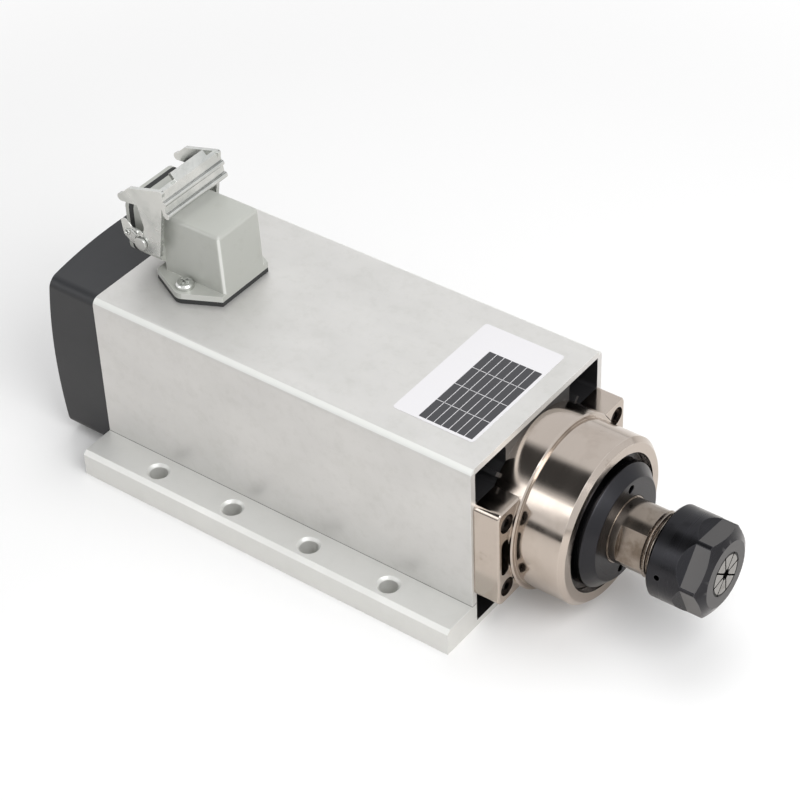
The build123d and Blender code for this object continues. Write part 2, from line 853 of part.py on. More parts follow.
with BuildPart() as collet:
    with BuildSketch(along()):
        with BuildLine():
            Polyline(
                (collet_rear_x, 0),
                (collet_rear_x, collet_rear_r),
                (collet_taper_x, collet_mouth_r),
                (collet_taper_x, collet_mouth_r - collet_groove_depth),
                (nut_lip_x + taper_gap, collet_mouth_r - collet_groove_depth),
                (nut_lip_x + taper_gap, collet_head_r),
                (nut_pocket_x - taper_gap, collet_head_r),
                (nut_front_x - nut_aperture_land - taper_gap, collet_face_r),
                (nut_front_x, collet_face_r),
                (nut_front_x, 0),
                close=True,
            )
        make_face()
    revolve(axis=shaft_axis)
    with BuildSketch(across(collet_rear_x)):
        Circle(collet_bore_r)
    extrude(amount=collet_length, mode=Mode.SUBTRACT)
    with BuildSketch(across(collet_rear_x)):
        Circle(collet_relief_r)
    extrude(amount=collet_relief_length, mode=Mode.SUBTRACT)
    with BuildSketch(across(nut_front_x)):
        for slot in range(collet_slots):
            with PolarLocations(0, 1, start_angle=180 - collet_slot_turn + slot * 360 / collet_slots):
                with Locations((collet_head_r, 0)):
                    Rectangle(2 * collet_head_r - collet_bore_r, collet_slot_width)
    extrude(amount=-collet_slot_length, mode=Mode.SUBTRACT)

# ---------------------------------------------------------------- side-entry connector
plate_top_z = plug_base_z + plate_thickness
plug_top_z = plate_top_z + plug_body_height
mouth_x = connector_x - mouth_reach
mouth_centre_z = plate_top_z + mouth_top_height - mouth_height / 2
tunnel_bottom_z = mouth_centre_z - mouth_height / 2 + plug_wall
tunnel_top_z = plug_top_z - plug_wall
tunnel_width = plug_body_width - 2 * plug_wall
tunnel_height = tunnel_top_z - tunnel_bottom_z
tunnel_centre_z = (tunnel_top_z + tunnel_bottom_z) / 2
insert_front_x = mouth_x + insert_setback
insert_rear_x = insert_front_x + insert_length
well_length = plug_well_front_x - insert_rear_x
well_x = (plug_well_front_x + insert_rear_x) / 2


def plug_plane(x, z=mouth_centre_z):
    """Sketch plane across the connector's mouth: local x is +Y and local y is +Z."""
    return Plane(origin=(x, connector_y, z), x_dir=(0, 1, 0), z_dir=(1, 0, 0))


def plate_outline():
    """Closed outline of the six-sided foot plate, as points about the connector's centre."""
    half = plate_half_length
    return [
        (half, plate_side_half),
        (0, plate_tip_half),
        (-half, plate_side_half),
        (-half, -plate_side_half),
        (0, -plate_tip_half),
        (half, -plate_side_half),
    ]


def foot_plate(z, thickness):
    """Six-sided plate with two screw holes and a wire well, standing on z."""
    with BuildPart() as plate:
        with BuildSketch(Plane(origin=(connector_x, connector_y, z))) as outline:
            with BuildLine():
                Polyline(*plate_outline(), close=True)
            make_face()
            tips = outline.vertices().group_by(Axis.Y)
            fillet(tips[0] + tips[-1], plate_tip_r)
            sides = [v for v in outline.vertices() if abs(abs(v.X - connector_x) - plate_half_length) < 0.01]
            fillet(sides, plate_side_r)
        extrude(amount=thickness)
        with BuildSketch(Plane.XY.offset(z)):
            with Locations(plug_screw_places):
                Circle(plug_screw_r + counterbore_gap)
            with Locations((well_x, connector_y)):
                Rectangle(well_length, well_width)
        extrude(amount=thickness, mode=Mode.SUBTRACT)
    return plate.part


gasket = foot_plate(body_height, gasket_thickness)

pivot_x = mouth_x + pivot_back
pivot_z = mouth_centre_z - mouth_height / 2 + pivot_height
mouth_half = mouth_width / 2
pivot_sides = (-1, 1)


with BuildPart() as plug_body:
    with BuildSketch(along(connector_y - plug_body_width / 2, connector_x, 0)):
        with BuildLine():
            Polyline(
                (plug_body_front, plate_top_z),
                (plug_body_front - plug_body_draft, plug_top_z),
                (mouth_length - mouth_reach, plug_top_z),
                (mouth_length - mouth_reach, plate_top_z),
                close=True,
            )
        make_face()
    extrude(amount=-plug_body_width)
    front_face = plug_body.faces().sort_by(Axis.X)[-1]
    top_face = plug_body.faces().sort_by(Axis.Z)[-1]
    side_ridges = [edge for edge in top_face.edges() if abs(edge.center().Y - connector_y) > 1]
    front_rim = [edge for edge in front_face.edges() if edge.center().Z > plate_top_z + 1]
    fillet(side_ridges + front_rim, plug_body_r)

with BuildPart() as connector_shell:
    add(foot_plate(plug_base_z, plate_thickness))
    add(plug_body.part)
    with BuildSketch(plug_plane(mouth_x)):
        RectangleRounded(mouth_width, mouth_height, mouth_r)
    extrude(amount=mouth_length)
    for side in pivot_sides:
        with BuildSketch(Plane(
            origin=(pivot_x, connector_y + side * mouth_half, pivot_z),
            x_dir=(1, 0, 0),
            z_dir=(0, side, 0),
        )):
            Circle(pivot_pad_r)
        extrude(amount=pivot_pad_h)
    with BuildSketch(plug_plane(mouth_x)):
        RectangleRounded(mouth_width - 2 * mouth_wall, mouth_height - 2 * plug_wall, tunnel_r)
    extrude(amount=mouth_depth, mode=Mode.SUBTRACT)
    with BuildSketch(plug_plane(mouth_x, tunnel_centre_z)):
        RectangleRounded(tunnel_width, tunnel_height, tunnel_r)
    extrude(amount=insert_rear_x - mouth_x, mode=Mode.SUBTRACT)
    with BuildSketch(Plane.XY.offset(plug_base_z)):
        with Locations((well_x, connector_y)):
            Rectangle(well_length, well_width)
    extrude(amount=tunnel_top_z - plug_base_z, mode=Mode.SUBTRACT)
    with BuildSketch(plug_plane(mouth_x + seal_setback)):
        RectangleRounded(mouth_width, mouth_height, mouth_r)
        RectangleRounded(
            mouth_width - 2 * seal_depth, mouth_height - 2 * seal_depth, mouth_r - seal_depth,
            mode=Mode.SUBTRACT,
        )
    extrude(amount=seal_width, mode=Mode.SUBTRACT)
    with BuildSketch(Plane(origin=(pivot_x, connector_y, pivot_z), x_dir=(1, 0, 0), z_dir=(0, -1, 0))):
        Circle(stud_r + fit_gap)
    extrude(amount=mouth_half + pivot_pad_h, both=True, mode=Mode.SUBTRACT)

with BuildPart() as mouth_seal:
    with BuildSketch(plug_plane(mouth_x + seal_setback)):
        RectangleRounded(mouth_width - fit_gap, mouth_height - fit_gap, mouth_r)
        RectangleRounded(
            mouth_width - 2 * seal_depth + fit_gap, mouth_height - 2 * seal_depth + fit_gap,
            mouth_r - seal_depth, mode=Mode.SUBTRACT,
        )
    extrude(amount=seal_width)

pin_places = corners(pin_spacing / 2, pin_spacing / 2)

with BuildPart() as contact_insert:
    with BuildSketch(plug_plane(insert_front_x, tunnel_centre_z)):
        RectangleRounded(tunnel_width - 2 * fit_gap, tunnel_height - 2 * fit_gap, tunnel_r)
        with Locations(pin_places):
            Circle(pin_r + fit_gap, mode=Mode.SUBTRACT)
    extrude(amount=insert_length)

with BuildPart() as contact_pins:
    with BuildSketch(plug_plane(insert_rear_x, tunnel_centre_z)):
        with Locations(pin_places):
            Circle(pin_r)
    extrude(amount=-pin_length)
    chamfer(contact_pins.faces().group_by(Axis.X)[0].edges(), pin_r / 3)

with BuildPart() as motor_leads:
    with BuildLine() as route:
        Polyline(
            (insert_rear_x, connector_y, tunnel_centre_z),
            (lead_x, connector_y, tunnel_centre_z),
            (lead_x, connector_y, axis_z + winding_outer_r + fit_gap),
        )
    with BuildSketch(Plane(origin=route.line @ 0, z_dir=route.line % 0)):
        Circle(lead_r)
    sweep(path=route.line, transition=Transition.RIGHT)

with BuildPart() as connector_screws:
    with BuildSketch(Plane.XY.offset(plate_top_z)):
        with Locations(plug_screw_places):
            Circle(plug_screw_head_r)
    extrude(amount=plug_screw_head_h)
    chamfer(connector_screws.faces().group_by(Axis.Z)[-1].edges(), plug_screw_head_h / 3)
    with BuildSketch(Plane.XY.offset(plate_top_z)):
        with Locations(plug_screw_places):
            Circle(plug_screw_r)
    extrude(amount=-plug_screw_length)
    with BuildSketch(Plane.XY.offset(plate_top_z + plug_screw_head_h)):
        with Locations(plug_screw_places):
            Rectangle(plug_screw_slot_length, plug_screw_slot)
            Rectangle(plug_screw_slot, plug_screw_slot_length)
    extrude(amount=-plug_screw_head_h / 2, mode=Mode.SUBTRACT)

# ---------------------------------------------------------------- locking lever
cheek_inner = mouth_half + pivot_pad_h + lever_side_gap
cheek_outer = cheek_inner + lever_sheet
lever_plane = Plane(origin=(pivot_x, connector_y - cheek_outer, pivot_z), x_dir=(1, 0, 0), z_dir=(0, -1, 0))

lever_rear_top = lever_height - lever_top_fall
web_top = lever_height - web_drop

with BuildPart() as locking_lever:
    with BuildSketch(lever_plane) as cheek:
        with BuildLine():
            Polyline(
                (lever_top_rear, lever_rear_top),
                (lever_reach, lever_height),
                (lever_foot_reach, -lever_foot_drop),
                (0, -lever_foot_drop),
                (0, 0),
                (lever_waist_rear, lever_waist_height),
                (lever_neck_rear, lever_neck_height),
                close=True,
            )
        make_face()
        fillet(cheek.vertices().sort_by(Axis.X)[-1], lever_corner_r)
        fillet(cheek.vertices().group_by(Axis.Z)[0].sort_by(Axis.X)[-1], lever_foot_r)
        Circle(lever_eye_r)
        with BuildLine():
            Polyline(
                (lever_top_rear, lever_rear_top),
                (-ear_reach, lever_rear_top - ear_fall),
                (-hook_reach - hook_r, hook_height),
                (-hook_reach, hook_height - hook_r),
                (lever_neck_rear, lever_neck_height),
                close=True,
            )
        make_face()
        with Locations((-hook_reach, hook_height)):
            Circle(hook_r)
        Circle(stud_r + running_gap, mode=Mode.SUBTRACT)
    extrude(amount=-lever_sheet)
    mirror(about=Plane(origin=(0, connector_y, 0), z_dir=(0, 1, 0)))
    with BuildSketch(lever_plane):
        with BuildLine():
            Polyline(
                (lever_reach - web_lean - web_ledge, web_top),
                (lever_reach - web_lean, web_top),
                (lever_reach, web_channel_height),
                (lever_reach + web_lip_reach, web_lip_height),
            )
            offset(amount=lever_sheet, side=Side.RIGHT, closed=True)
        make_face()
        with Locations((lever_reach, web_channel_height)):
            Circle(web_rib_r)
        with Locations((lever_reach + web_lip_reach, web_lip_height)):
            Circle(web_roll_r)
    extrude(amount=-2 * cheek_outer)
    with BuildSketch(lever_plane.offset(tab_width / 2 - cheek_outer - tab_offset)):
        with BuildLine():
            Polyline(
                (lever_reach - web_lean - tab_back, web_top + tab_rise),
                (lever_reach - web_lean, web_top),
            )
            offset(amount=lever_sheet, side=Side.RIGHT, closed=True)
        make_face()
    extrude(amount=-tab_width)

with BuildPart() as pivot_studs:
    for side in pivot_sides:
        outward = Plane(
            origin=(pivot_x, connector_y + side * (cheek_outer + lever_side_gap), pivot_z),
            x_dir=(1, 0, 0),
            z_dir=(0, side, 0),
        )
        with BuildSketch(outward):
            Circle(stud_head_r)
        extrude(amount=stud_head_h)
        with BuildSketch(outward):
            Circle(stud_r)
        extrude(amount=-(cheek_outer + lever_side_gap - mouth_half + stud_depth))

# ---------------------------------------------------------------- write one file per piece
pieces = {
    "housing": housing.part,
    "front_bearing_seat": front_bearing_seat.part,
    "flange_screws": flange_screws,
    "front_outer_ring": front_outer_ring,
    "front_inner_ring": front_inner_ring,
    "front_ball_cage": front_ball_cage,
    "rear_outer_ring": rear_outer_ring,
    "rear_inner_ring": rear_inner_ring,
    "rear_ball_cage": rear_ball_cage,
    "spring_washer": spring_washer,
    "retaining_ring": retaining_ring.part,
    "shaft": shaft.part,
    "rotor_core": rotor_core,
    "rotor_end_rings": rotor_end_rings.part,
    "stator_core": stator_core.part,
    "stator_windings": stator_windings.part,
    "rear_bearing_seat": rear_bearing_seat.part,
    "bearing_circlip": bearing_circlip.part,
    "fan": fan.part,
    "fan_screw": fan_screw.part,
    "rear_cover": rear_cover.part,
    "cover_screws": cover_screws,
    "collet_nut": collet_nut.part,
    "collet": collet.part,
    "connector_gasket": gasket,
    "connector_shell": connector_shell.part,
    "mouth_seal": mouth_seal.part,
    "contact_insert": contact_insert.part,
    "contact_pins": contact_pins.part,
    "motor_leads": motor_leads.part,
    "connector_screws": connector_screws.part,
    "locking_lever": locking_lever.part,
    "pivot_studs": pivot_studs.part,
}

os.makedirs("parts", exist_ok=True)
for name, piece in pieces.items():
    piece.label = name
    export_step(piece, f"parts/{name}.step")
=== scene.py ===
"""Looks for a square milling motor spindle: finishes, softened edges, a blank rating label, the
lever's spring clip and a pale studio, built around the packed model."""

import json
import math

import bmesh
import bpy
from mathutils import Matrix, Vector


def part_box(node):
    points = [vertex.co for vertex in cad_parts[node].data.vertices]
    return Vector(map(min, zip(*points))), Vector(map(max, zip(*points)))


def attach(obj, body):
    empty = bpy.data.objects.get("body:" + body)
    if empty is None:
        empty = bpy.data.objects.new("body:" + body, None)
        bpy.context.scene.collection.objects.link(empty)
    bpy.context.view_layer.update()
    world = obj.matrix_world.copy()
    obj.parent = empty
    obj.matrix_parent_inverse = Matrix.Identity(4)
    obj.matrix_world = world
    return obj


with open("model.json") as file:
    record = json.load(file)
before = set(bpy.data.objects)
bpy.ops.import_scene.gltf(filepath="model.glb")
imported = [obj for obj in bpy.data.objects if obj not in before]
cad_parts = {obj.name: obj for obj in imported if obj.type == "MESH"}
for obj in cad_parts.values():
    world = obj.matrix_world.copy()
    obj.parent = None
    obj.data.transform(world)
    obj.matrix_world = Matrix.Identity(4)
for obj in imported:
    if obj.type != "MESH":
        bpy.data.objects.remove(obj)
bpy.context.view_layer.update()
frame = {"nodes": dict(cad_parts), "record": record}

bl_info = {
    "name": "Motor Spindle Looks",
    "version": (1, 0, 0),
    "blender": (4, 5, 0),
    "location": "3D View > Sidebar > Spindle",
    "description":
        "Finishes, softened edges, a blank rating label and a studio for a motor spindle",
    "category": "Object",
}

MM = 0.001
NODES = frame["nodes"]
HOUSING_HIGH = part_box("housing")[1]
NUT_LOW, NUT_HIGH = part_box("collet_nut")
SHAFT_Z = (NUT_LOW[2] + NUT_HIGH[2]) / 2

# Sizes inside the packed pieces, which their boxes don't tell
BODY_HALF_Y = 40.0 * MM
BODY_WALL = 2.7 * MM
DUCT_HALF_Y = BODY_HALF_Y - BODY_WALL
DUCT_HALF_Z = HOUSING_HIGH[2] - SHAFT_Z - BODY_WALL
LEDGE_Z = 11.0 * MM
NUT_FLATS_START = 8.0 * MM
NUT_FLATS_RADIUS = 16.85 * MM
NUT_FACE_R = 12.45 * MM
COLLET_FACE_R = 8.2 * MM
LEVER_PIVOT_X = -75.2 * MM
LEVER_PIVOT_Z = 90.0 * MM

# Slack of the masks that pick a face by its place
FACE_SLACK = 0.1 * MM

# Dark patches of the studio in degrees: azimuth, elevation, dark core and soft edge
DARK_PATCHES = [(-151, 57, 13, 25), (-116, -1, 4, 10), (78, 44, 9, 18)]


# ---------------------------------------------------------------- sizes and colours
class SpindleSizes(bpy.types.PropertyGroup):
    """Sizes of the edges, the label, the lever's spring clip, the camera and the floor."""

    edge: bpy.props.FloatProperty(
        name="Edge softness", description="Width of the softened edges of machined pieces",
        default=0.25 * MM, min=0.0, unit="LENGTH")
    fine_edge: bpy.props.FloatProperty(
        name="Fine edge softness", description="Width of the softened edges of small pieces",
        default=0.12 * MM, min=0.0, unit="LENGTH")
    moulded_edge: bpy.props.FloatProperty(
        name="Moulded edge softness", description="Width of the softened edges of moulded pieces",
        default=0.4 * MM, min=0.0, unit="LENGTH")
    label_length: bpy.props.FloatProperty(
        name="Label length", description="Length of the rating label across the body",
        default=56.1 * MM, unit="LENGTH")
    label_width: bpy.props.FloatProperty(
        name="Label width", description="Width of the rating label along the shaft",
        default=33.7 * MM, unit="LENGTH")
    label_thickness: bpy.props.FloatProperty(
        name="Label thickness", description="Thickness of the rating label",
        default=0.12 * MM, unit="LENGTH")
    label_setback: bpy.props.FloatProperty(
        name="Label setback", description="Distance of the label from the front end of the body",
        default=8.0 * MM, unit="LENGTH")
    label_shift: bpy.props.FloatProperty(
        name="Label shift", description="Sideways place of the label's middle",
        default=0.85 * MM, unit="LENGTH")
    spring_thickness: bpy.props.FloatProperty(
        name="Spring plate thickness",
        description="Thickness of the plate under the lever's spring",
        default=0.5 * MM, unit="LENGTH")
    spring_wire: bpy.props.FloatProperty(
        name="Spring wire radius", description="Radius of the wire of the lever's spring",
        default=0.33 * MM, unit="LENGTH")
    camera_azimuth: bpy.props.FloatProperty(
        name="Camera azimuth", description="Angle of the camera round the upright axis",
        default=math.radians(37.951), subtype="ANGLE")
    camera_elevation: bpy.props.FloatProperty(
        name="Camera elevation", description="Angle of the camera above the horizon",
        default=math.radians(39.567), subtype="ANGLE")
    camera_roll: bpy.props.FloatProperty(
        name="Camera roll", description="Tilt of the camera about its line of sight",
        default=math.radians(-2.3), subtype="ANGLE")
    camera_distance: bpy.props.FloatProperty(
        name="Camera distance", description="Distance from the camera to its target",
        default=901.28 * MM, unit="LENGTH")
    camera_lens: bpy.props.FloatProperty(
        name="Camera lens", description="Focal length in millimetres on a 36 mm sensor",
        default=110.47, min=1.0)
    camera_target: bpy.props.FloatVectorProperty(
        name="Camera target", description="Point that the camera looks at",
        default=(13.954 * MM, 13.678 * MM, 34.816 * MM), subtype="TRANSLATION", unit="LENGTH")
    floor_span: bpy.props.FloatProperty(
        name="Floor span", description="Width of the pale floor",
        default=8.0, unit="LENGTH")


class SpindleColours(bpy.types.PropertyGroup):
    """Colours of the finishes."""

    anodised: bpy.props.FloatVectorProperty(
        name="Anodised aluminium", description="Extruded body with its feet",
        default=(0.70, 0.692, 0.675), subtype="COLOR", min=0, max=1)
    nickel: bpy.props.FloatVectorProperty(
        name="Nickel plate", description="Front bearing seat",
        default=(0.51, 0.45, 0.40), subtype="COLOR", min=0, max=1)
    ground_steel: bpy.props.FloatVectorProperty(
        name="Ground steel", description="Shaft nose",
        default=(0.28, 0.24, 0.205), subtype="COLOR", min=0, max=1)
    black_oxide: bpy.props.FloatVectorProperty(
        name="Black oxide", description="Collet nut, retaining ring and cap screws",
        default=(0.038, 0.038, 0.042), subtype="COLOR", min=0, max=1)
    spring_steel: bpy.props.FloatVectorProperty(
        name="Bright steel", description="Collet",
        default=(0.29, 0.285, 0.275), subtype="COLOR", min=0, max=1)
    cover: bpy.props.FloatVectorProperty(
        name="Cover plastic", description="Rear fan cover",
        default=(0.0155, 0.0165, 0.019), subtype="COLOR", min=0, max=1)
    connector: bpy.props.FloatVectorProperty(
        name="Connector paint", description="Cast connector housing",
        default=(0.495, 0.505, 0.47), subtype="COLOR", min=0, max=1)
    zinc: bpy.props.FloatVectorProperty(
        name="Zinc plate", description="Locking lever, studs and small screws",
        default=(0.70, 0.71, 0.69), subtype="COLOR", min=0, max=1)
    rubber: bpy.props.FloatVectorProperty(
        name="Rubber", description="Gasket and mouth seal",
        default=(0.022, 0.023, 0.023), subtype="COLOR", min=0, max=1)
    # Painted highlight colour for the connector's upright front corners
    painted_corner_highlight: bpy.props.FloatVectorProperty(
        name="Painted corner highlight", description="Paler paint along the connector's corners",
        default=(0.74, 0.75, 0.72), subtype="COLOR", min=0, max=1)
    # Pale tone painted on the body: a painted highlight along its upper corners and painted light
    # on its ledges
    painted_light_tone: bpy.props.FloatVectorProperty(
        name="Painted light tone", description="Dull pale strip along the upper corners of the body",
        default=(0.78, 0.79, 0.765), subtype="COLOR", min=0, max=1)
    label_paper: bpy.props.FloatVectorProperty(
        name="Label sheet", description="Pale sheet of the rating label",
        default=(0.76, 0.75, 0.77), subtype="COLOR", min=0, max=1)
    label_ink: bpy.props.FloatVectorProperty(
        name="Label ink", description="Dark field of the rating label",
        default=(0.035, 0.035, 0.04), subtype="COLOR", min=0, max=1)


def sizes():
    """The sizes kept with the scene."""
    return bpy.context.scene.spindle_sizes


def colours():
    """The colours kept with the scene."""
    return bpy.context.scene.spindle_colours


# ---------------------------------------------------------------- shader node groups
def new_group(name, inputs, outputs):
    """Empty shader group with float inputs {name: default} and float outputs [name]."""
    tree = bpy.data.node_groups.new(name, "ShaderNodeTree")
    for title, value in inputs.items():
        socket = tree.interface.new_socket(title, in_out="INPUT", socket_type="NodeSocketFloat")
        socket.default_value = value
    for title in outputs:
        tree.interface.new_socket(title, in_out="OUTPUT", socket_type="NodeSocketFloat")
    entry = tree.nodes.new("NodeGroupInput")
    leave = tree.nodes.new("NodeGroupOutput")
    return tree, entry.outputs, leave.inputs


def node(tree, kind, **settings):
    """New node of that kind with its settings."""
    made = tree.nodes.new(kind)
    for key, value in settings.items():
        setattr(made, key, value)
    return made


def math_node(tree, operation, first, second=0.5, clamp=False):
    """Output of a maths node; first and second are sockets or numbers."""
    made = node(tree, "ShaderNodeMath", operation=operation, use_clamp=clamp)
    for place, value in enumerate((first, second)):
        if isinstance(value, (int, float)):
            made.inputs[place].default_value = value
        else:
            tree.links.new(value, made.inputs[place])
    return made.outputs[0]


def noise(tree, vector, scale, detail=3.0, roughness=0.55):
    """Output of a noise texture; scale is a socket with the number of lumps a metre."""
    made = node(tree, "ShaderNodeTexNoise")
    made.inputs["Detail"].default_value = detail
    made.inputs["Roughness"].default_value = roughness
    tree.links.new(vector, made.inputs["Vector"])
    tree.links.new(scale, made.inputs["Scale"])
    return made.outputs["Fac"]


def parts_of(tree, vector):
    """Sockets X, Y and Z of a vector socket."""
    made = node(tree, "ShaderNodeSeparateXYZ")
    tree.links.new(vector, made.inputs[0])
    return made.outputs


def joined_vector(tree, *parts):
    """Vector socket made of value sockets."""
    made = node(tree, "ShaderNodeCombineXYZ")
    for place, part in enumerate(parts):
        tree.links.new(part, made.inputs[place])
    return made.outputs[0]


def object_place(tree):
    """Socket with the place on the object, in metres."""
    return node(tree, "ShaderNodeTexCoord").outputs["Object"]


def surface_normal(tree):
    """Socket with the way that the surface faces."""
    return node(tree, "ShaderNodeNewGeometry").outputs["Normal"]


def shaft_radius(tree, place):
    """Socket with the distance from the shaft's axis, from the sockets X, Y and Z of a place."""
    up = math_node(tree, "SUBTRACT", place["Z"], SHAFT_Z)
    square = math_node(tree, "ADD", math_node(tree, "MULTIPLY", up, up),
                       math_node(tree, "MULTIPLY", place["Y"], place["Y"]))
    return math_node(tree, "SQRT", square)


def speckle_group():
    """Fine grain, such as a blasted, cast or moulded skin, with a slower cloud over it."""
    tree, given, out = new_group(
        "Speckle", {"Grain a metre": 2500.0, "Cloud a metre": 25.0, "Stretch": 1.0},
        ["Height", "Cloud"])
    place = parts_of(tree, object_place(tree))
    along = math_node(tree, "MULTIPLY", place["X"], given["Stretch"])
    joined = joined_vector(tree, along, place["Y"], place["Z"])
    tree.links.new(noise(tree, joined, given["Grain a metre"], detail=2.0), out["Height"])
    tree.links.new(
        noise(tree, joined, given["Cloud a metre"], detail=4.0, roughness=0.6), out["Cloud"])
    return tree


def wear_group():
    """Mask that is high on outer edges, from how far a rounded normal turns from the surface."""
    tree, given, out = new_group("Edge wear", {"Strength": 3.0, "Breakup a metre": 400.0}, ["Mask"])
    rounded = node(tree, "ShaderNodeBevel", samples=4)
    rounded.inputs["Radius"].default_value = 0.5 * MM
    turn = node(tree, "ShaderNodeVectorMath", operation="DOT_PRODUCT")
    tree.links.new(rounded.outputs[0], turn.inputs[0])
    tree.links.new(surface_normal(tree), turn.inputs[1])
    away = math_node(tree, "SUBTRACT", 1.0, turn.outputs["Value"])
    strong = math_node(tree, "MULTIPLY", away, given["Strength"], clamp=True)
    broken = noise(tree, object_place(tree), given["Breakup a metre"])
    tree.links.new(math_node(tree, "MULTIPLY", strong, broken, clamp=True), out["Mask"])
    return tree


def turning_group():
    """Tool lines left by a lathe: rings along the shaft and circles on the faces square to it."""
    tree, given, out = new_group(
        "Turning lines", {"Lines a metre": 4000.0, "Bands a metre": 250.0}, ["Height", "Bands"])
    place = parts_of(tree, object_place(tree))
    joined = joined_vector(tree, place["X"], shaft_radius(tree, place))
    tree.links.new(noise(tree, joined, given["Lines a metre"], detail=2.0), out["Height"])
    tree.links.new(noise(tree, joined, given["Bands a metre"]), out["Bands"])
    return tree


def weave_group():
    """Crossed strands of a braided sleeve."""
    tree, given, out = new_group("Braid", {"Strands a metre": 900.0}, ["Height"])
    place = object_place(tree)
    strands = []
    for direction in ("DIAGONAL", "X"):
        wave = node(tree, "ShaderNodeTexWave", bands_direction=direction)
        tree.links.new(place, wave.inputs["Vector"])
        tree.links.new(given["Strands a metre"], wave.inputs["Scale"])
        strands.append(wave.outputs["Fac"])
    tree.links.new(math_node(tree, "MULTIPLY", *strands), out["Height"])
    return tree


def stain_group():
    """Scattered smudges with soft rims; a higher level leaves fewer of them."""
    tree, given, out = new_group("Stains", {"Blots a metre": 60.0, "Level": 0.55}, ["Mask"])
    rim_sharpness = 7.0
    cloud = noise(tree, object_place(tree), given["Blots a metre"], detail=6.0, roughness=0.62)
    rise = math_node(tree, "SUBTRACT", cloud, given["Level"])
    tree.links.new(math_node(tree, "MULTIPLY", rise, rim_sharpness, clamp=True), out["Mask"])
    return tree


GROUPS = {}


def build_groups():
    """Makes the shared node groups once."""
    GROUPS.update(
        speckle=speckle_group(), wear=wear_group(), turning=turning_group(), braid=weave_group(),
        stains=stain_group())


def group_node(tree, key, **values):
    """One shared group placed in a material, with its own values."""
    made = node(tree, "ShaderNodeGroup", node_tree=GROUPS[key])
    for title, value in values.items():
        made.inputs[title.replace("_", " ")].default_value = value
    return made.outputs


# ---------------------------------------------------------------- materials
def new_material(name):
    """Empty material with a Principled shader; returns the material, its tree and the shader."""
    material = bpy.data.materials.new(name)
    material.use_nodes = True
    tree = material.node_tree
    return material, tree, tree.nodes["Principled BSDF"]


def shaded(tree, colour, mask, factor):
    """Colour socket: colour made darker or lighter by factor where the mask is high."""
    mix = node(tree, "ShaderNodeMix", data_type="RGBA")
    mix.inputs["A"].default_value = (*colour, 1.0)
    mix.inputs["B"].default_value = (*[min(1.0, part * factor) for part in colour], 1.0)
    tree.links.new(mask, mix.inputs["Factor"])
    return mix.outputs["Result"]


def over(tree, under, colour, mask):
    """Colour socket: colour laid over the under socket by the mask."""
    mix = node(tree, "ShaderNodeMix", data_type="RGBA")
    tree.links.new(under, mix.inputs["A"])
    mix.inputs["B"].default_value = (*colour, 1.0)
    tree.links.new(mask, mix.inputs["Factor"])
    return mix.outputs["Result"]


def smudged(tree, under, tint, blots, level):
    """Colour socket: the under socket multiplied by a tint inside scattered smudges."""
    mix = node(tree, "ShaderNodeMix", data_type="RGBA", blend_type="MULTIPLY")
    tree.links.new(under, mix.inputs["A"])
    mix.inputs["B"].default_value = (*tint, 1.0)
    mask = group_node(tree, "stains", Blots_a_metre=blots, Level=level)["Mask"]
    tree.links.new(mask, mix.inputs["Factor"])
    return mix.outputs["Result"]


def spread(tree, mask, low, high):
    """Value socket that runs from low to high over the range that a noise texture mostly has."""
    made = node(tree, "ShaderNodeMapRange")
    tree.links.new(mask, made.inputs["Value"])
    made.inputs["From Min"].default_value = 0.3
    made.inputs["From Max"].default_value = 0.7
    made.inputs["To Min"].default_value = low
    made.inputs["To Max"].default_value = high
    return made.outputs["Result"]


def bumped(tree, shader, height, depth):
    """Feeds the shader a normal from a height socket and a depth in metres."""
    bump = node(tree, "ShaderNodeBump")
    bump.inputs["Strength"].default_value = 1.0
    bump.inputs["Distance"].default_value = depth
    tree.links.new(height, bump.inputs["Height"])
    tree.links.new(bump.outputs[0], shader.inputs["Normal"])


def skinned_material(name, colour, metallic, roughness, grain, depth, shade=0.9, stretch=1.0,
                     cloud=25.0, worn=None, coat=0.0, stains=()):
    """Blasted, cast, painted or moulded skin with a grain and a cloud, counted a metre, worn
    edges, and stains given as (tint, blots a metre, level)."""
    rough_span = 0.06
    material, tree, shader = new_material(name)
    speckle = group_node(tree, "speckle", Grain_a_metre=grain, Cloud_a_metre=cloud, Stretch=stretch)
    base = shaded(tree, colour, speckle["Cloud"], shade)
    for stain in stains:
        base = smudged(tree, base, *stain)
    if worn:
        wear = group_node(tree, "wear", Strength=3.0, Breakup_a_metre=500.0)
        base = over(tree, base, worn, wear["Mask"])
    tree.links.new(base, shader.inputs["Base Color"])
    tree.links.new(
        spread(tree, speckle["Cloud"], roughness - rough_span, roughness + rough_span),
        shader.inputs["Roughness"])
    shader.inputs["Metallic"].default_value = metallic
    shader.inputs["Coat Weight"].default_value = coat
    shader.inputs["Coat Roughness"].default_value = 0.25
    bumped(tree, shader, speckle["Height"], depth)
    return material


def turned_material(name, colour, roughness, lines, depth, shade=0.8, worn=None, aniso=0.4,
                    stains=()):
    """Lathe-turned metal with tool lines, counted a metre, bands of brightness, worn edges, and
    stains given as (tint, blots a metre, level)."""
    lines_in_band = 14
    material, tree, shader = new_material(name)
    turning = group_node(
        tree, "turning", Lines_a_metre=lines, Bands_a_metre=lines / lines_in_band)
    base = shaded(tree, colour, turning["Bands"], shade)
    for stain in stains:
        base = smudged(tree, base, *stain)
    if worn:
        wear = group_node(tree, "wear", Strength=4.0, Breakup_a_metre=600.0)
        base = over(tree, base, worn, wear["Mask"])
    tree.links.new(base, shader.inputs["Base Color"])
    tree.links.new(spread(tree, turning["Bands"], roughness * 0.8, roughness * 1.25),
                   shader.inputs["Roughness"])
    shader.inputs["Metallic"].default_value = 1.0
    shader.inputs["Anisotropic"].default_value = aniso
    bumped(tree, shader, turning["Height"], depth)
    return material


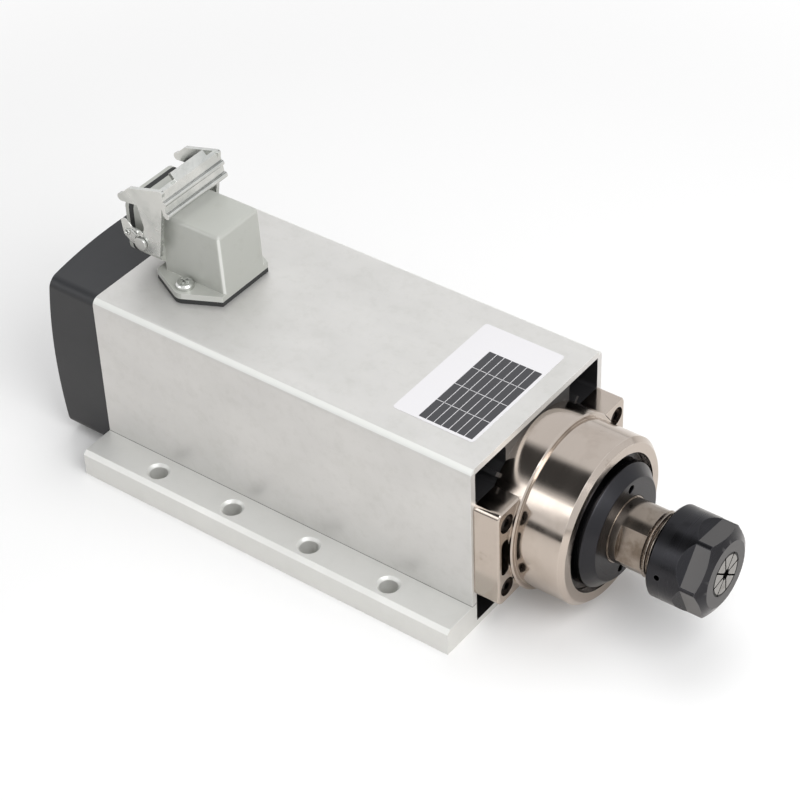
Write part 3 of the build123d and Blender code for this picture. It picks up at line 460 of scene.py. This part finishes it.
def braided_material(name, colour):
    """Woven glass sleeving."""
    material, tree, shader = new_material(name)
    braid = group_node(tree, "braid", Strands_a_metre=900.0)
    tree.links.new(shaded(tree, colour, braid["Height"], factor=0.6), shader.inputs["Base Color"])
    shader.inputs["Roughness"].default_value = 0.8
    bumped(tree, shader, braid["Height"], 0.1 * MM)
    return material


def lay_over(material, mask, values):
    """Mixes new uniform values {socket: value} into the shader where the mask is 1."""
    tree = material.node_tree
    shader = tree.nodes["Principled BSDF"]
    for title, value in values.items():
        socket = shader.inputs[title]
        mix = node(tree, "ShaderNodeMix", data_type="RGBA" if title == "Base Color" else "FLOAT")
        if socket.is_linked:
            tree.links.new(socket.links[0].from_socket, mix.inputs["A"])
        else:
            mix.inputs["A"].default_value = socket.default_value
        mix.inputs["B"].default_value = value
        tree.links.new(mask, mix.inputs["Factor"])
        tree.links.new(mix.outputs["Result"], socket)


def above(tree, value, limit):
    """Mask socket that is 1 where the value is more than the limit."""
    return math_node(tree, "GREATER_THAN", value, limit)


def below(tree, value, limit):
    """Mask socket that is 1 where the value is less than the limit."""
    return math_node(tree, "LESS_THAN", value, limit)


def all_of(tree, *masks):
    """Mask socket that is 1 where every mask is 1."""
    joined = masks[0]
    for mask in masks[1:]:
        joined = math_node(tree, "MULTIPLY", joined, mask)
    return joined


def finish_body(material):
    """Matt pale upper corners, paler ledges with a dark seam beside them, and black air ducts."""
    tree = material.node_tree
    place = parts_of(tree, object_place(tree))
    pale = (*colours().painted_light_tone, 1.0)
    corner_width, corner_height = 2.0 * MM, 1.8 * MM
    crease_shadow_half, ledge_share = 0.16 * MM, 0.5
    sideways = math_node(tree, "ABSOLUTE", place["Y"])
    off_axis = math_node(tree, "ABSOLUTE", math_node(tree, "SUBTRACT", place["Z"], SHAFT_Z))
    off_ledge = math_node(tree, "ABSOLUTE", math_node(tree, "SUBTRACT", place["Z"], LEDGE_Z))

    # Painted highlight: a matt strip along the rounded upper corners, paler than the anodising, for
    # the light that falls on them
    corner = all_of(tree, above(tree, sideways, BODY_HALF_Y - corner_width),
                    above(tree, place["Z"], HOUSING_HIGH[2] - corner_height))
    lay_over(material, corner, {"Base Color": pale, "Metallic": 0.1, "Roughness": 0.62})
    # Painted light: the ledges are painted halfway to the pale tone, lighter as if more lit
    ledge = below(tree, place["Z"], LEDGE_Z + FACE_SLACK / 2)
    lay_over(material, math_node(tree, "MULTIPLY", ledge, ledge_share), {
        "Base Color": pale, "Metallic": 0.3})
    # Painted shadow: a thin dark line along the crease where the web meets the ledge
    crease_shadow = all_of(tree, below(tree, off_ledge, crease_shadow_half),
                  below(tree, sideways, BODY_HALF_Y + FACE_SLACK))
    lay_over(material, crease_shadow, {"Base Color": (0.16, 0.16, 0.155, 1.0), "Metallic": 0.0})
    # Painted shade: the air ducts inside the body are painted near black for the shade in them
    inside = all_of(tree, below(tree, sideways, DUCT_HALF_Y + FACE_SLACK),
                    below(tree, off_axis, DUCT_HALF_Z + FACE_SLACK))
    lay_over(material, inside, {"Base Color": (0.014, 0.014, 0.015, 1.0), "Metallic": 0.0})


def finish_nut(material):
    """Greyer ground flats and front face on the collet nut."""
    tree = material.node_tree
    place = parts_of(tree, object_place(tree))
    radius = shaft_radius(tree, place)
    tilt = math_node(tree, "ABSOLUTE", parts_of(tree, surface_normal(tree))["X"])
    flat_tilt = 0.05
    flats = all_of(
        tree, above(tree, place["X"], NUT_LOW[0] + NUT_FLATS_START), below(tree, tilt, flat_tilt),
        below(tree, radius, NUT_FLATS_RADIUS))
    lay_over(material, flats, {"Base Color": (0.11, 0.107, 0.107, 1.0), "Roughness": 0.3})
    face = all_of(tree, above(tree, place["X"], NUT_HIGH[0] - FACE_SLACK),
                  below(tree, radius, NUT_FACE_R))
    lay_over(material, face, {"Base Color": (0.065, 0.064, 0.066, 1.0), "Roughness": 0.3})


def finish_collet(material):
    """Dark groove round the collet's front face and dark rim of its bore."""
    tree = material.node_tree
    place = parts_of(tree, object_place(tree))
    radius = shaft_radius(tree, place)
    face_depth, groove_width, rim_radius = 1.0 * MM, 0.8 * MM, 2.1 * MM
    ring = math_node(tree, "MAXIMUM", above(tree, radius, COLLET_FACE_R - groove_width),
                     below(tree, radius, rim_radius))
    front = above(tree, place["X"], NUT_HIGH[0] - face_depth)
    # Painted shade: near-black ring at the outer edge of the face and at the bore's rim
    lay_over(material, all_of(tree, front, ring), {
        "Base Color": (0.02, 0.02, 0.02, 1.0), "Roughness": 0.5})


def finish_connector(material):
    """Paint rubbed paler along the upright front corners of the connector."""
    tree = material.node_tree
    facing = parts_of(tree, surface_normal(tree))
    corner_slant, sharpness = 0.34, 9.0
    slant = math_node(tree, "MULTIPLY", facing["X"], math_node(tree, "ABSOLUTE", facing["Y"]))
    rise = math_node(tree, "SUBTRACT", slant, corner_slant)
    lit_corners = math_node(tree, "MULTIPLY", rise, sharpness, clamp=True)
    # Painted highlight laid over the upright front corners
    lay_over(material, lit_corners, {"Base Color": (*colours().painted_corner_highlight, 1.0)})


def build_materials():
    """Every finish of the spindle, by the record's material slot."""
    tint = colours()
    steel = tuple(tint.spring_steel)
    dark = tuple(tint.black_oxide)
    return {
        "body_aluminium": skinned_material(
            "Anodised aluminium", tuple(tint.anodised), metallic=0.5, roughness=0.44, grain=2600.0,
            depth=0.014 * MM, shade=0.9, stretch=0.6, cloud=70.0, worn=(0.95, 0.95, 0.94),
            stains=[((0.965, 0.965, 0.96), 240.0, 0.5), ((0.97, 0.972, 0.968), 45.0, 0.52)]),
        "nickel": turned_material(
            "Nickel plate", tuple(tint.nickel), roughness=0.13, lines=3200.0, depth=0.0004 * MM,
            shade=0.95, worn=(0.85, 0.8, 0.74), aniso=0.2,
            stains=[((0.9, 0.885, 0.87), 45.0, 0.5), ((0.62, 0.58, 0.54), 85.0, 0.66)]),
        "shaft_steel": turned_material(
            "Ground shaft steel", tuple(tint.ground_steel), roughness=0.18, lines=4200.0,
            depth=0.001 * MM, shade=0.85, worn=(0.6, 0.56, 0.52),
            stains=[((0.6, 0.56, 0.52), 90.0, 0.5), ((0.35, 0.32, 0.3), 200.0, 0.64)]),
        "black_oxide": turned_material(
            "Black oxide", dark, roughness=0.27, lines=3000.0, depth=0.0005 * MM, shade=0.92,
            worn=(0.16, 0.16, 0.17),
            stains=[((0.7, 0.7, 0.7), 120.0, 0.58)]),
        "collet_steel": turned_material(
            "Ground collet steel", steel, roughness=0.22, lines=3800.0, depth=0.001 * MM,
            worn=(0.75, 0.74, 0.72),
            stains=[((0.7, 0.68, 0.66), 150.0, 0.55)]),
        "bearing_steel": turned_material(
            "Bearing steel", (0.7, 0.7, 0.72), roughness=0.12, lines=5000.0, depth=0.0005 * MM),
        "cage_resin": skinned_material(
            "Cage resin", (0.45, 0.32, 0.18), metallic=0.0, roughness=0.5, grain=1800.0,
            depth=0.02 * MM),
        "core_steel": turned_material(
            "Stacked core steel", (0.3, 0.3, 0.32), roughness=0.45, lines=1900.0, depth=0.02 * MM),
        "copper": turned_material(
            "Varnished copper", (0.62, 0.27, 0.12), roughness=0.35, lines=1100.0, depth=0.12 * MM),
        "cast_aluminium": skinned_material(
            "Die-cast aluminium", (0.66, 0.66, 0.66), metallic=0.9, roughness=0.45, grain=1300.0,
            depth=0.03 * MM),
        "cover_plastic": skinned_material(
            "Cover plastic", tuple(tint.cover), metallic=0.0, roughness=0.5, grain=2400.0,
            depth=0.02 * MM, shade=1.25, worn=(0.1, 0.1, 0.105)),
        "fan_plastic": skinned_material(
            "Fan plastic", (0.03, 0.03, 0.033), metallic=0.0, roughness=0.55, grain=1500.0,
            depth=0.02 * MM),
        "seal_rubber": skinned_material(
            "Seal rubber", tuple(tint.rubber), metallic=0.0, roughness=0.68, grain=1700.0,
            depth=0.02 * MM, shade=1.4),
        # The connector's pale worn edges are partly real rubbed paint and partly a painted
        # highlight along its edges
        "connector_alloy": skinned_material(
            "Connector paint", tuple(tint.connector), metallic=0.1, roughness=0.38, grain=1500.0,
            depth=0.018 * MM, shade=0.93, cloud=60.0, worn=(0.82, 0.83, 0.8), coat=0.2,
            stains=[((0.94, 0.94, 0.93), 130.0, 0.54)]),
        "lever_steel": skinned_material(
            "Zinc-plated sheet", tuple(tint.zinc), metallic=0.95, roughness=0.24, grain=2200.0,
            depth=0.006 * MM, shade=0.85, worn=(0.9, 0.9, 0.88),
            stains=[((0.82, 0.83, 0.83), 60.0, 0.5)]),
        "insert_plastic": skinned_material(
            "Contact insert", (0.5, 0.52, 0.52), metallic=0.0, roughness=0.3, grain=900.0,
            depth=0.01 * MM),
        "contact_silver": skinned_material(
            "Silver-plated contact", (0.78, 0.77, 0.74), metallic=1.0, roughness=0.2, grain=3000.0,
            depth=0.003 * MM),
        "lead_sleeve": braided_material("Glass sleeving", (0.75, 0.72, 0.62)),
        "screw_zinc": skinned_material(
            "Zinc-plated screw", tuple(tint.zinc), metallic=1.0, roughness=0.26, grain=2600.0,
            depth=0.006 * MM, shade=0.8, worn=(0.9, 0.9, 0.88)),
        "screw_black": skinned_material(
            "Black screw", dark, metallic=0.8, roughness=0.36, grain=2600.0, depth=0.008 * MM,
            worn=(0.25, 0.25, 0.26)),
        "spring_steel": turned_material(
            "Blued spring steel", (0.32, 0.34, 0.4), roughness=0.25, lines=3000.0,
            depth=0.002 * MM),
    }


MATERIALS = {}


# ---------------------------------------------------------------- dressed and added pieces
def material_of(name):
    """The finish of a packed piece, by its slot in the record."""
    for piece in frame["record"]["subparts"]:
        if piece["node"] == name:
            return MATERIALS[piece["material_slot"]]
    raise RuntimeError(f"no material slot for {name}")


def soften(piece, width, segments, angle):
    """Bevel modifier on the edges that turn by more than an angle in degrees."""
    soft = piece.modifiers.new("Soften edges", "BEVEL")
    soft.width = width
    soft.segments = segments
    soft.limit_method = "ANGLE"
    soft.angle_limit = math.radians(angle)
    soft.use_clamp_overlap = True
    return soft


def dress(name, edge, segments=2, clean=True):
    """Gives a packed piece its finish and, where edge isn't 0, softened edges; clean joins the
    flat faces first."""
    piece = NODES[name]
    piece.data.materials.clear()
    piece.data.materials.append(material_of(name))
    if not edge:
        return
    weld = piece.modifiers.new("Join faces", "WELD")
    weld.merge_threshold = 0.001 * MM
    if clean:
        flat = piece.modifiers.new("Clean flats", "DECIMATE")
        flat.decimate_type = "DISSOLVE"
        flat.angle_limit = math.radians(0.4)
    soften(piece, edge, segments, angle=28).miter_outer = "MITER_ARC"
    normals = piece.modifiers.new("Face normals", "WEIGHTED_NORMAL")
    normals.mode = "FACE_AREA"
    normals.keep_sharp = False


def mesh_piece(name, body, material, builder):
    """New piece from a bmesh builder, riding on a body."""
    mesh = bpy.data.meshes.new(name)
    shape = bmesh.new()
    builder(shape)
    bmesh.ops.recalc_face_normals(shape, faces=shape.faces)
    shape.to_mesh(mesh)
    shape.free()
    piece = bpy.data.objects.new(name, mesh)
    bpy.context.scene.collection.objects.link(piece)
    mesh.materials.append(material)
    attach(piece, body)
    return piece


def join_rings(shape, ring, after):
    """Faces between two rings with the same number of points."""
    count = len(ring)
    for place in range(count):
        turn = (place + 1) % count
        shape.faces.new((ring[place], ring[turn], after[turn], after[place]))


def add_slab(shape, low, high, corner=0.0, steps=4):
    """Flat slab between two corners of a box, with round upright corners."""
    middle = (low + high) / 2
    half = (high - low) / 2
    outline = []
    for quarter, (sx, sy) in enumerate(((1, 1), (-1, 1), (-1, -1), (1, -1))):
        centre = Vector((middle.x + sx * (half.x - corner), middle.y + sy * (half.y - corner), 0))
        for step in range(steps + 1 if corner else 1):
            turn = math.radians(90 * quarter + 90 * step / steps)
            outline.append(centre + corner * Vector((math.cos(turn), math.sin(turn), 0)))
    rings = [[shape.verts.new((p.x, p.y, z)) for p in outline] for z in (low.z, high.z)]
    shape.faces.new(reversed(rings[0]))
    shape.faces.new(rings[1])
    join_rings(shape, *rings)


def add_plate(shape, outline, near_y, far_y):
    """Flat plate between two values of Y, with its outline as pairs of X and Z."""
    rings = [[shape.verts.new((x, y, z)) for x, z in outline] for y in (near_y, far_y)]
    shape.faces.new(rings[0])
    shape.faces.new(reversed(rings[1]))
    join_rings(shape, *rings)


def arc(centre, radius, first, last, step):
    """Points round a centre in a plane square to Y, with the angles in degrees."""
    turns = [math.radians(turn) for turn in range(first, last + 1, step)]
    return [centre + radius * Vector((math.cos(turn), 0, math.sin(turn))) for turn in turns]


def add_wire(shape, points, radius, closed=False, sides=8):
    """Round wire along points in a plane square to Y; closed joins its ends."""
    count = len(points)
    rings = []
    for place, point in enumerate(points):
        before = points[(place - 1) % count] if closed or place else point
        after = points[(place + 1) % count] if closed or place < count - 1 else point
        along = (after - before).normalized()
        across = along.cross(Vector((0, 1, 0)))
        rings.append([
            shape.verts.new(point + radius * (
                math.cos(2 * math.pi * side / sides) * across
                + math.sin(2 * math.pi * side / sides) * Vector((0, 1, 0))))
            for side in range(sides)])
    for place in range(count if closed else count - 1):
        join_rings(shape, rings[place], rings[(place + 1) % count])
    if not closed:
        shape.faces.new(reversed(rings[0]))
        shape.faces.new(rings[-1])


def add_spring_clip():
    """Small plate with a wire spring on it, on the near cheek of the lever, beside its stud."""
    size = sizes()
    cheek_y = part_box("locking_lever")[0][1]
    plate_y = cheek_y - size.spring_thickness
    notch_radius, plate_edge = 3.1 * MM, 0.12 * MM
    eye_radius, wire_sag = 1.0 * MM, 0.5 * MM
    eyes = ((-81.3 * MM, 92.9 * MM), (-76.9 * MM, 94.2 * MM))
    stand_off, bend_share = 0.8, 0.4
    pivot = Vector((LEVER_PIVOT_X, 0, LEVER_PIVOT_Z))
    outline = [(x * MM, z * MM) for x, z in (
        (-83.3, 91.2), (-84.1, 97.0), (-83.2, 98.1), (-81.6, 98.2), (-80.2, 97.2), (-78.9, 95.7),
        (-75.2, 95.6), (-73.9, 94.8))]
    outline += [(point.x, point.z) for point in arc(pivot, notch_radius, 70, 210, 20)]
    outline.append((-80.4 * MM, 88.8 * MM))

    def plate(shape):
        add_plate(shape, outline, plate_y, cheek_y)

    def wire(shape):
        wire_y = plate_y - size.spring_wire * stand_off
        first, last = (Vector((x, wire_y, z)) for x, z in eyes)
        for middle in (first, last):
            add_wire(shape, arc(middle, eye_radius, 0, 330, 30), size.spring_wire, closed=True)
        rise = Vector((0, 0, eye_radius))
        bend = (first + last) / 2 + Vector((0, 0, wire_sag)) + rise * bend_share
        add_wire(shape, [first + rise, bend, last - rise], size.spring_wire)

    steel = MATERIALS["lever_steel"]
    soften(mesh_piece("lever_spring_plate", "lever", steel, plate),
           plate_edge, segments=2, angle=35)
    mesh_piece("lever_spring_wire", "lever", MATERIALS["screw_zinc"], wire)


def operator(name, title, words, action):
    """Operator class that runs one action of the build, with words as its docstring."""

    def execute(self, context):
        action()
        return {"FINISHED"}

    return type(
        "SPINDLE_OT_" + name, (bpy.types.Operator,),
        {"bl_idname": "spindle." + name, "bl_label": title, "bl_options": {"REGISTER", "UNDO"},
         "__doc__": words, "execute": execute})


def make_body():
    """Extruded body, rear cover and rear seat."""
    size = sizes()
    dress("housing", size.edge)
    dress("rear_cover", size.moulded_edge, clean=False)
    dress("rear_bearing_seat", 0)


def make_nose():
    """Front bearing seat and retaining ring."""
    size = sizes()
    dress("front_bearing_seat", size.edge, 3, clean=False)
    dress("retaining_ring", size.edge)


def make_shaft():
    """Shaft, collet and nut."""
    size = sizes()
    dress("shaft", size.fine_edge)
    dress("collet_nut", size.edge, 3)
    dress("collet", size.fine_edge)


def make_motor():
    """Bearings, rotor, stator and fan inside the body."""
    for name in (
        "front_outer_ring", "front_inner_ring", "front_ball_cage", "rear_outer_ring",
        "rear_inner_ring", "rear_ball_cage", "spring_washer", "bearing_circlip", "rotor_core",
        "rotor_end_rings", "stator_core", "stator_windings", "fan", "fan_screw", "motor_leads",
    ):
        dress(name, 0)


def make_fasteners():
    """Screws at both ends of the body."""
    size = sizes()
    dress("flange_screws", size.fine_edge)
    dress("cover_screws", size.fine_edge)


def make_connector():
    """Connector shell, gasket, seal, insert, contacts and screws."""
    size = sizes()
    dress("connector_shell", size.moulded_edge)
    dress("connector_gasket", size.edge)
    dress("mouth_seal", 0)
    dress("contact_insert", size.fine_edge)
    dress("contact_pins", 0)
    dress("connector_screws", size.fine_edge)


def make_lever():
    """Locking lever, its studs and the spring clip beside the near one."""
    size = sizes()
    dress("locking_lever", size.edge)
    dress("pivot_studs", size.fine_edge)
    add_spring_clip()


def make_label():
    """Blank rating label: a pale sheet, a dark field and its ruled cells."""
    size = sizes()
    ink_thickness = 0.02 * MM
    sheet_corner, field_corner = 1.2 * MM, 0.3 * MM
    margin, blank_rear, blank_far = 1.2 * MM, 10.3 * MM, 12.6 * MM
    rule = 0.22 * MM
    rows, columns = 7, 4

    top = HOUSING_HIGH[2]
    high_x = HOUSING_HIGH[0] - size.label_setback
    low_x = high_x - size.label_width
    low_y = size.label_shift - size.label_length / 2
    high_y = size.label_shift + size.label_length / 2
    sheet_top = top + size.label_thickness
    field_top = sheet_top + ink_thickness
    field_low = Vector((low_x + blank_rear, low_y + margin, sheet_top))
    field_high = Vector((high_x - margin, high_y - blank_far, field_top))

    paper = skinned_material(
        "Label sheet", tuple(colours().label_paper), metallic=0.0, roughness=0.32, grain=1200.0,
        depth=0.004 * MM, shade=0.97)
    ink = skinned_material(
        "Label ink", tuple(colours().label_ink), metallic=0.0, roughness=0.3, grain=1200.0,
        depth=0.004 * MM, shade=1.1)

    def sheet(shape):
        add_slab(shape, Vector((low_x, low_y, top)), Vector((high_x, high_y, sheet_top)),
                 sheet_corner)

    def field(shape):
        add_slab(shape, field_low, field_high, field_corner)

    def rules(shape):
        rise = Vector((0, 0, ink_thickness))
        span = field_high - field_low
        for row in range(1, rows):
            x = field_low.x + span.x * row / rows
            add_slab(shape, Vector((x - rule / 2, field_low.y, field_top)),
                     Vector((x + rule / 2, field_high.y, field_top)) + rise)
        for column in range(1, columns):
            y = field_low.y + span.y * column / columns
            add_slab(shape, Vector((field_low.x, y - rule / 2, field_top)),
                     Vector((field_high.x, y + rule / 2, field_top)) + rise)

    mesh_piece("label_sheet", "motor_body", paper, sheet)
    mesh_piece("label_field", "motor_body", ink, field)
    mesh_piece("label_rules", "motor_body", paper, rules)


# ---------------------------------------------------------------- studio
def aim(thing, place, target, roll=0.0):
    """Puts a lamp or camera at place, looking at target."""
    back = (place - target).normalized()
    right = Vector((0, 0, 1)).cross(back).normalized()
    up = back.cross(right)
    rolled_right = math.cos(roll) * right + math.sin(roll) * up
    rolled_up = -math.sin(roll) * right + math.cos(roll) * up
    turn = Matrix((rolled_right, rolled_up, back)).transposed()
    thing.matrix_world = Matrix.Translation(place) @ turn.to_4x4()


def heading(azimuth, elevation):
    """Unit vector at an azimuth from +X and an elevation above the floor, in degrees."""
    turn, lift = math.radians(azimuth), math.radians(elevation)
    level = math.cos(lift)
    return Vector((level * math.cos(turn), level * math.sin(turn), math.sin(lift)))


def softbox(name, way, target, distance, span, power, mirrored=True, matt=True):
    """Square area lamp that looks at the target; gloss shows it if mirrored, and it lights
    matt surfaces if matt."""
    lamp = bpy.data.lights.new(name, "AREA")
    lamp.size = span
    lamp.energy = power
    thing = bpy.data.objects.new(name, lamp)
    bpy.context.scene.collection.objects.link(thing)
    thing.visible_camera = False
    thing.visible_glossy = mirrored
    thing.visible_diffuse = matt
    aim(thing, target + distance * way, target)


def dark_patches(tree, way):
    """Mask socket of the dark patches that gloss shows, from a socket with the way looked in."""
    darkest = None
    for azimuth, elevation, core, edge in DARK_PATCHES:
        nearness = node(tree, "ShaderNodeVectorMath", operation="DOT_PRODUCT")
        tree.links.new(way, nearness.inputs[0])
        nearness.inputs[1].default_value = heading(azimuth, elevation)
        mask = node(tree, "ShaderNodeMapRange", interpolation_type="SMOOTHSTEP")
        tree.links.new(nearness.outputs["Value"], mask.inputs["Value"])
        mask.inputs["From Min"].default_value = math.cos(math.radians(edge))
        mask.inputs["From Max"].default_value = math.cos(math.radians(core))
        result = mask.outputs["Result"]
        darkest = result if darkest is None else math_node(tree, "MAXIMUM", darkest, result)
    glossy = node(tree, "ShaderNodeLightPath").outputs["Is Glossy Ray"]
    return math_node(tree, "MULTIPLY", darkest, glossy)


def surroundings(tree, lit):
    """Shader socket: white for the camera, white with dark patches for gloss, lit for the rest."""
    patch_depth = 0.93
    path = node(tree, "ShaderNodeLightPath")
    dark = dark_patches(tree, node(tree, "ShaderNodeTexCoord").outputs["Generated"])
    seen = math_node(tree, "MAXIMUM", path.outputs["Is Camera Ray"], path.outputs["Is Glossy Ray"])
    seen = math_node(tree, "MAXIMUM", seen, path.outputs["Is Transmission Ray"])
    white = node(tree, "ShaderNodeBackground")
    white.inputs["Color"].default_value = (1, 1, 1, 1)
    brightness = math_node(tree, "SUBTRACT", 1.0, math_node(tree, "MULTIPLY", dark, patch_depth))
    tree.links.new(brightness, white.inputs["Strength"])
    mix = node(tree, "ShaderNodeMixShader")
    tree.links.new(seen, mix.inputs[0])
    tree.links.new(lit, mix.inputs[1])
    tree.links.new(white.outputs[0], mix.inputs[2])
    return mix.outputs[0]


def floor_colour(tree, target):
    """Colour socket of the floor: near white, warmer and with the dark patches in gloss."""
    matt_white, warm_white, patch = (0.885, 0.885, 0.885), (0.95, 0.925, 0.9), (0.03, 0.028, 0.025)
    speckle = group_node(tree, "speckle", Grain_a_metre=300.0, Cloud_a_metre=3.0, Stretch=1.0)
    base = shaded(tree, matt_white, speckle["Cloud"], factor=0.995)
    glossy = node(tree, "ShaderNodeLightPath").outputs["Is Glossy Ray"]
    base = over(tree, base, warm_white, glossy)
    away = node(tree, "ShaderNodeVectorMath", operation="SUBTRACT")
    tree.links.new(node(tree, "ShaderNodeNewGeometry").outputs["Position"], away.inputs[0])
    away.inputs[1].default_value = target
    way = node(tree, "ShaderNodeVectorMath", operation="NORMALIZE")
    tree.links.new(away.outputs[0], way.inputs[0])
    return over(tree, base, patch, dark_patches(tree, way.outputs[0]))


def make_world():
    """Surroundings of the studio."""
    world = bpy.data.worlds.new("Studio")
    bpy.context.scene.world = world
    world.use_nodes = True
    tree = world.node_tree
    ambient = tree.nodes["Background"]
    ambient.inputs["Color"].default_value = (1, 1, 1, 1)
    ambient.inputs["Strength"].default_value = 0.6
    tree.links.new(surroundings(tree, ambient.outputs[0]), tree.nodes["World Output"].inputs[0])


def floor_glow(tree):
    """Shader socket of a glow that only the camera sees and that whitens the floor far away."""
    path = node(tree, "ShaderNodeLightPath")
    away = node(tree, "ShaderNodeVectorMath", operation="LENGTH")
    tree.links.new(node(tree, "ShaderNodeNewGeometry").outputs["Position"], away.inputs[0])
    far = node(tree, "ShaderNodeMapRange", interpolation_type="SMOOTHSTEP")
    tree.links.new(away.outputs["Value"], far.inputs["Value"])
    for title, value in (("From Min", 0.28), ("From Max", 0.8), ("To Min", 0.06), ("To Max", 0.5)):
        far.inputs[title].default_value = value
    glow = node(tree, "ShaderNodeEmission")
    strength = math_node(tree, "MULTIPLY", path.outputs["Is Camera Ray"], far.outputs["Result"])
    tree.links.new(strength, glow.inputs["Strength"])
    return glow.outputs[0]


def make_floor(span, target):
    """Wide pale floor under the part, which fades to white far from it."""
    mesh = bpy.data.meshes.new("floor")
    shape = bmesh.new()
    bmesh.ops.create_grid(shape, x_segments=8, y_segments=8, size=span / 2)
    shape.to_mesh(mesh)
    shape.free()
    floor = bpy.data.objects.new("floor", mesh)
    bpy.context.scene.collection.objects.link(floor)
    material, tree, shader = new_material("Pale floor")
    tree.links.new(floor_colour(tree, target), shader.inputs["Base Color"])
    shader.inputs["Roughness"].default_value = 0.9
    shader.inputs["Specular IOR Level"].default_value = 0.0
    both = node(tree, "ShaderNodeAddShader")
    tree.links.new(shader.outputs[0], both.inputs[0])
    tree.links.new(floor_glow(tree), both.inputs[1])
    tree.links.new(both.outputs[0], tree.nodes["Material Output"].inputs[0])
    mesh.materials.append(material)


def make_camera(size, target):
    """Camera that looks at the target."""
    camera = bpy.data.cameras.new("camera")
    camera.lens = size.camera_lens
    camera.sensor_width = 36.0
    camera.clip_end = 50.0
    thing = bpy.data.objects.new("camera", camera)
    bpy.context.scene.collection.objects.link(thing)
    level = math.cos(size.camera_elevation)
    back = Vector((math.sin(size.camera_azimuth) * level, -math.cos(size.camera_azimuth) * level,
                   math.sin(size.camera_elevation)))
    aim(thing, target + size.camera_distance * back, target, size.camera_roll)
    bpy.context.scene.camera = thing


def make_studio():
    """Pale floor, soft lamps, white surroundings and the camera."""
    size = sizes()
    target = Vector(size.camera_target)
    make_world()
    make_floor(size.floor_span, target)
    softbox("overhead", heading(120, 72), target, distance=1.45, span=0.9, power=5.4,
            mirrored=False)
    softbox("strip", heading(-125, 30), target, distance=1.4, span=0.55, power=1.6, matt=False)
    softbox("front", heading(-20, 46), target, distance=0.8, span=0.5, power=3.2)
    make_camera(size, target)
    bpy.context.scene.view_settings.view_transform = "Standard"


OPERATORS = [
    operator("body", "Body and rear cover",
             "Dresses the extruded body, its rear seat and the rear cover", make_body),
    operator("nose", "Front bearing seat",
             "Dresses the front bearing seat and the retaining ring", make_nose),
    operator("shaft", "Shaft, collet and nut",
             "Dresses the shaft, the collet and the nut", make_shaft),
    operator("motor", "Motor parts", "Dresses bearings, rotor, stator and fan", make_motor),
    operator("fasteners", "End screws", "Dresses the screws at both ends", make_fasteners),
    operator("connector", "Connector", "Dresses the side-entry connector", make_connector),
    operator("lever", "Locking lever",
             "Dresses the locking lever and its studs and adds the spring clip", make_lever),
    operator("label", "Blank label", "Adds the blank rating label", make_label),
    operator("studio", "Studio", "Adds floor, lamps, surroundings and camera", make_studio),
]


class SPINDLE_PT_looks(bpy.types.Panel):
    """Sidebar panel with the steps of the build."""

    bl_idname = "SPINDLE_PT_looks"
    bl_label = "Motor Spindle"
    bl_space_type = "VIEW_3D"
    bl_region_type = "UI"
    bl_category = "Spindle"

    def draw(self, context):
        for step in OPERATORS:
            self.layout.operator(step.bl_idname)


CLASSES = [SpindleSizes, SpindleColours, *OPERATORS, SPINDLE_PT_looks]


def register():
    """Adds the classes and the scene's settings."""
    for kind in CLASSES:
        bpy.utils.register_class(kind)
    bpy.types.Scene.spindle_sizes = bpy.props.PointerProperty(type=SpindleSizes)
    bpy.types.Scene.spindle_colours = bpy.props.PointerProperty(type=SpindleColours)


def unregister():
    """Takes the classes and the scene's settings away."""
    del bpy.types.Scene.spindle_colours
    del bpy.types.Scene.spindle_sizes
    for kind in reversed(CLASSES):
        bpy.utils.unregister_class(kind)


def main():
    """Builds the looks and writes the two boxes."""
    register()
    build_groups()
    MATERIALS.update(build_materials())
    finish_body(MATERIALS["body_aluminium"])
    finish_connector(MATERIALS["connector_alloy"])
    finish_nut(MATERIALS["black_oxide"])
    finish_collet(MATERIALS["collet_steel"])
    for step in OPERATORS:
        getattr(bpy.ops.spindle, step.bl_idname.split(".")[1])()


if __name__ == "__main__":
    main()
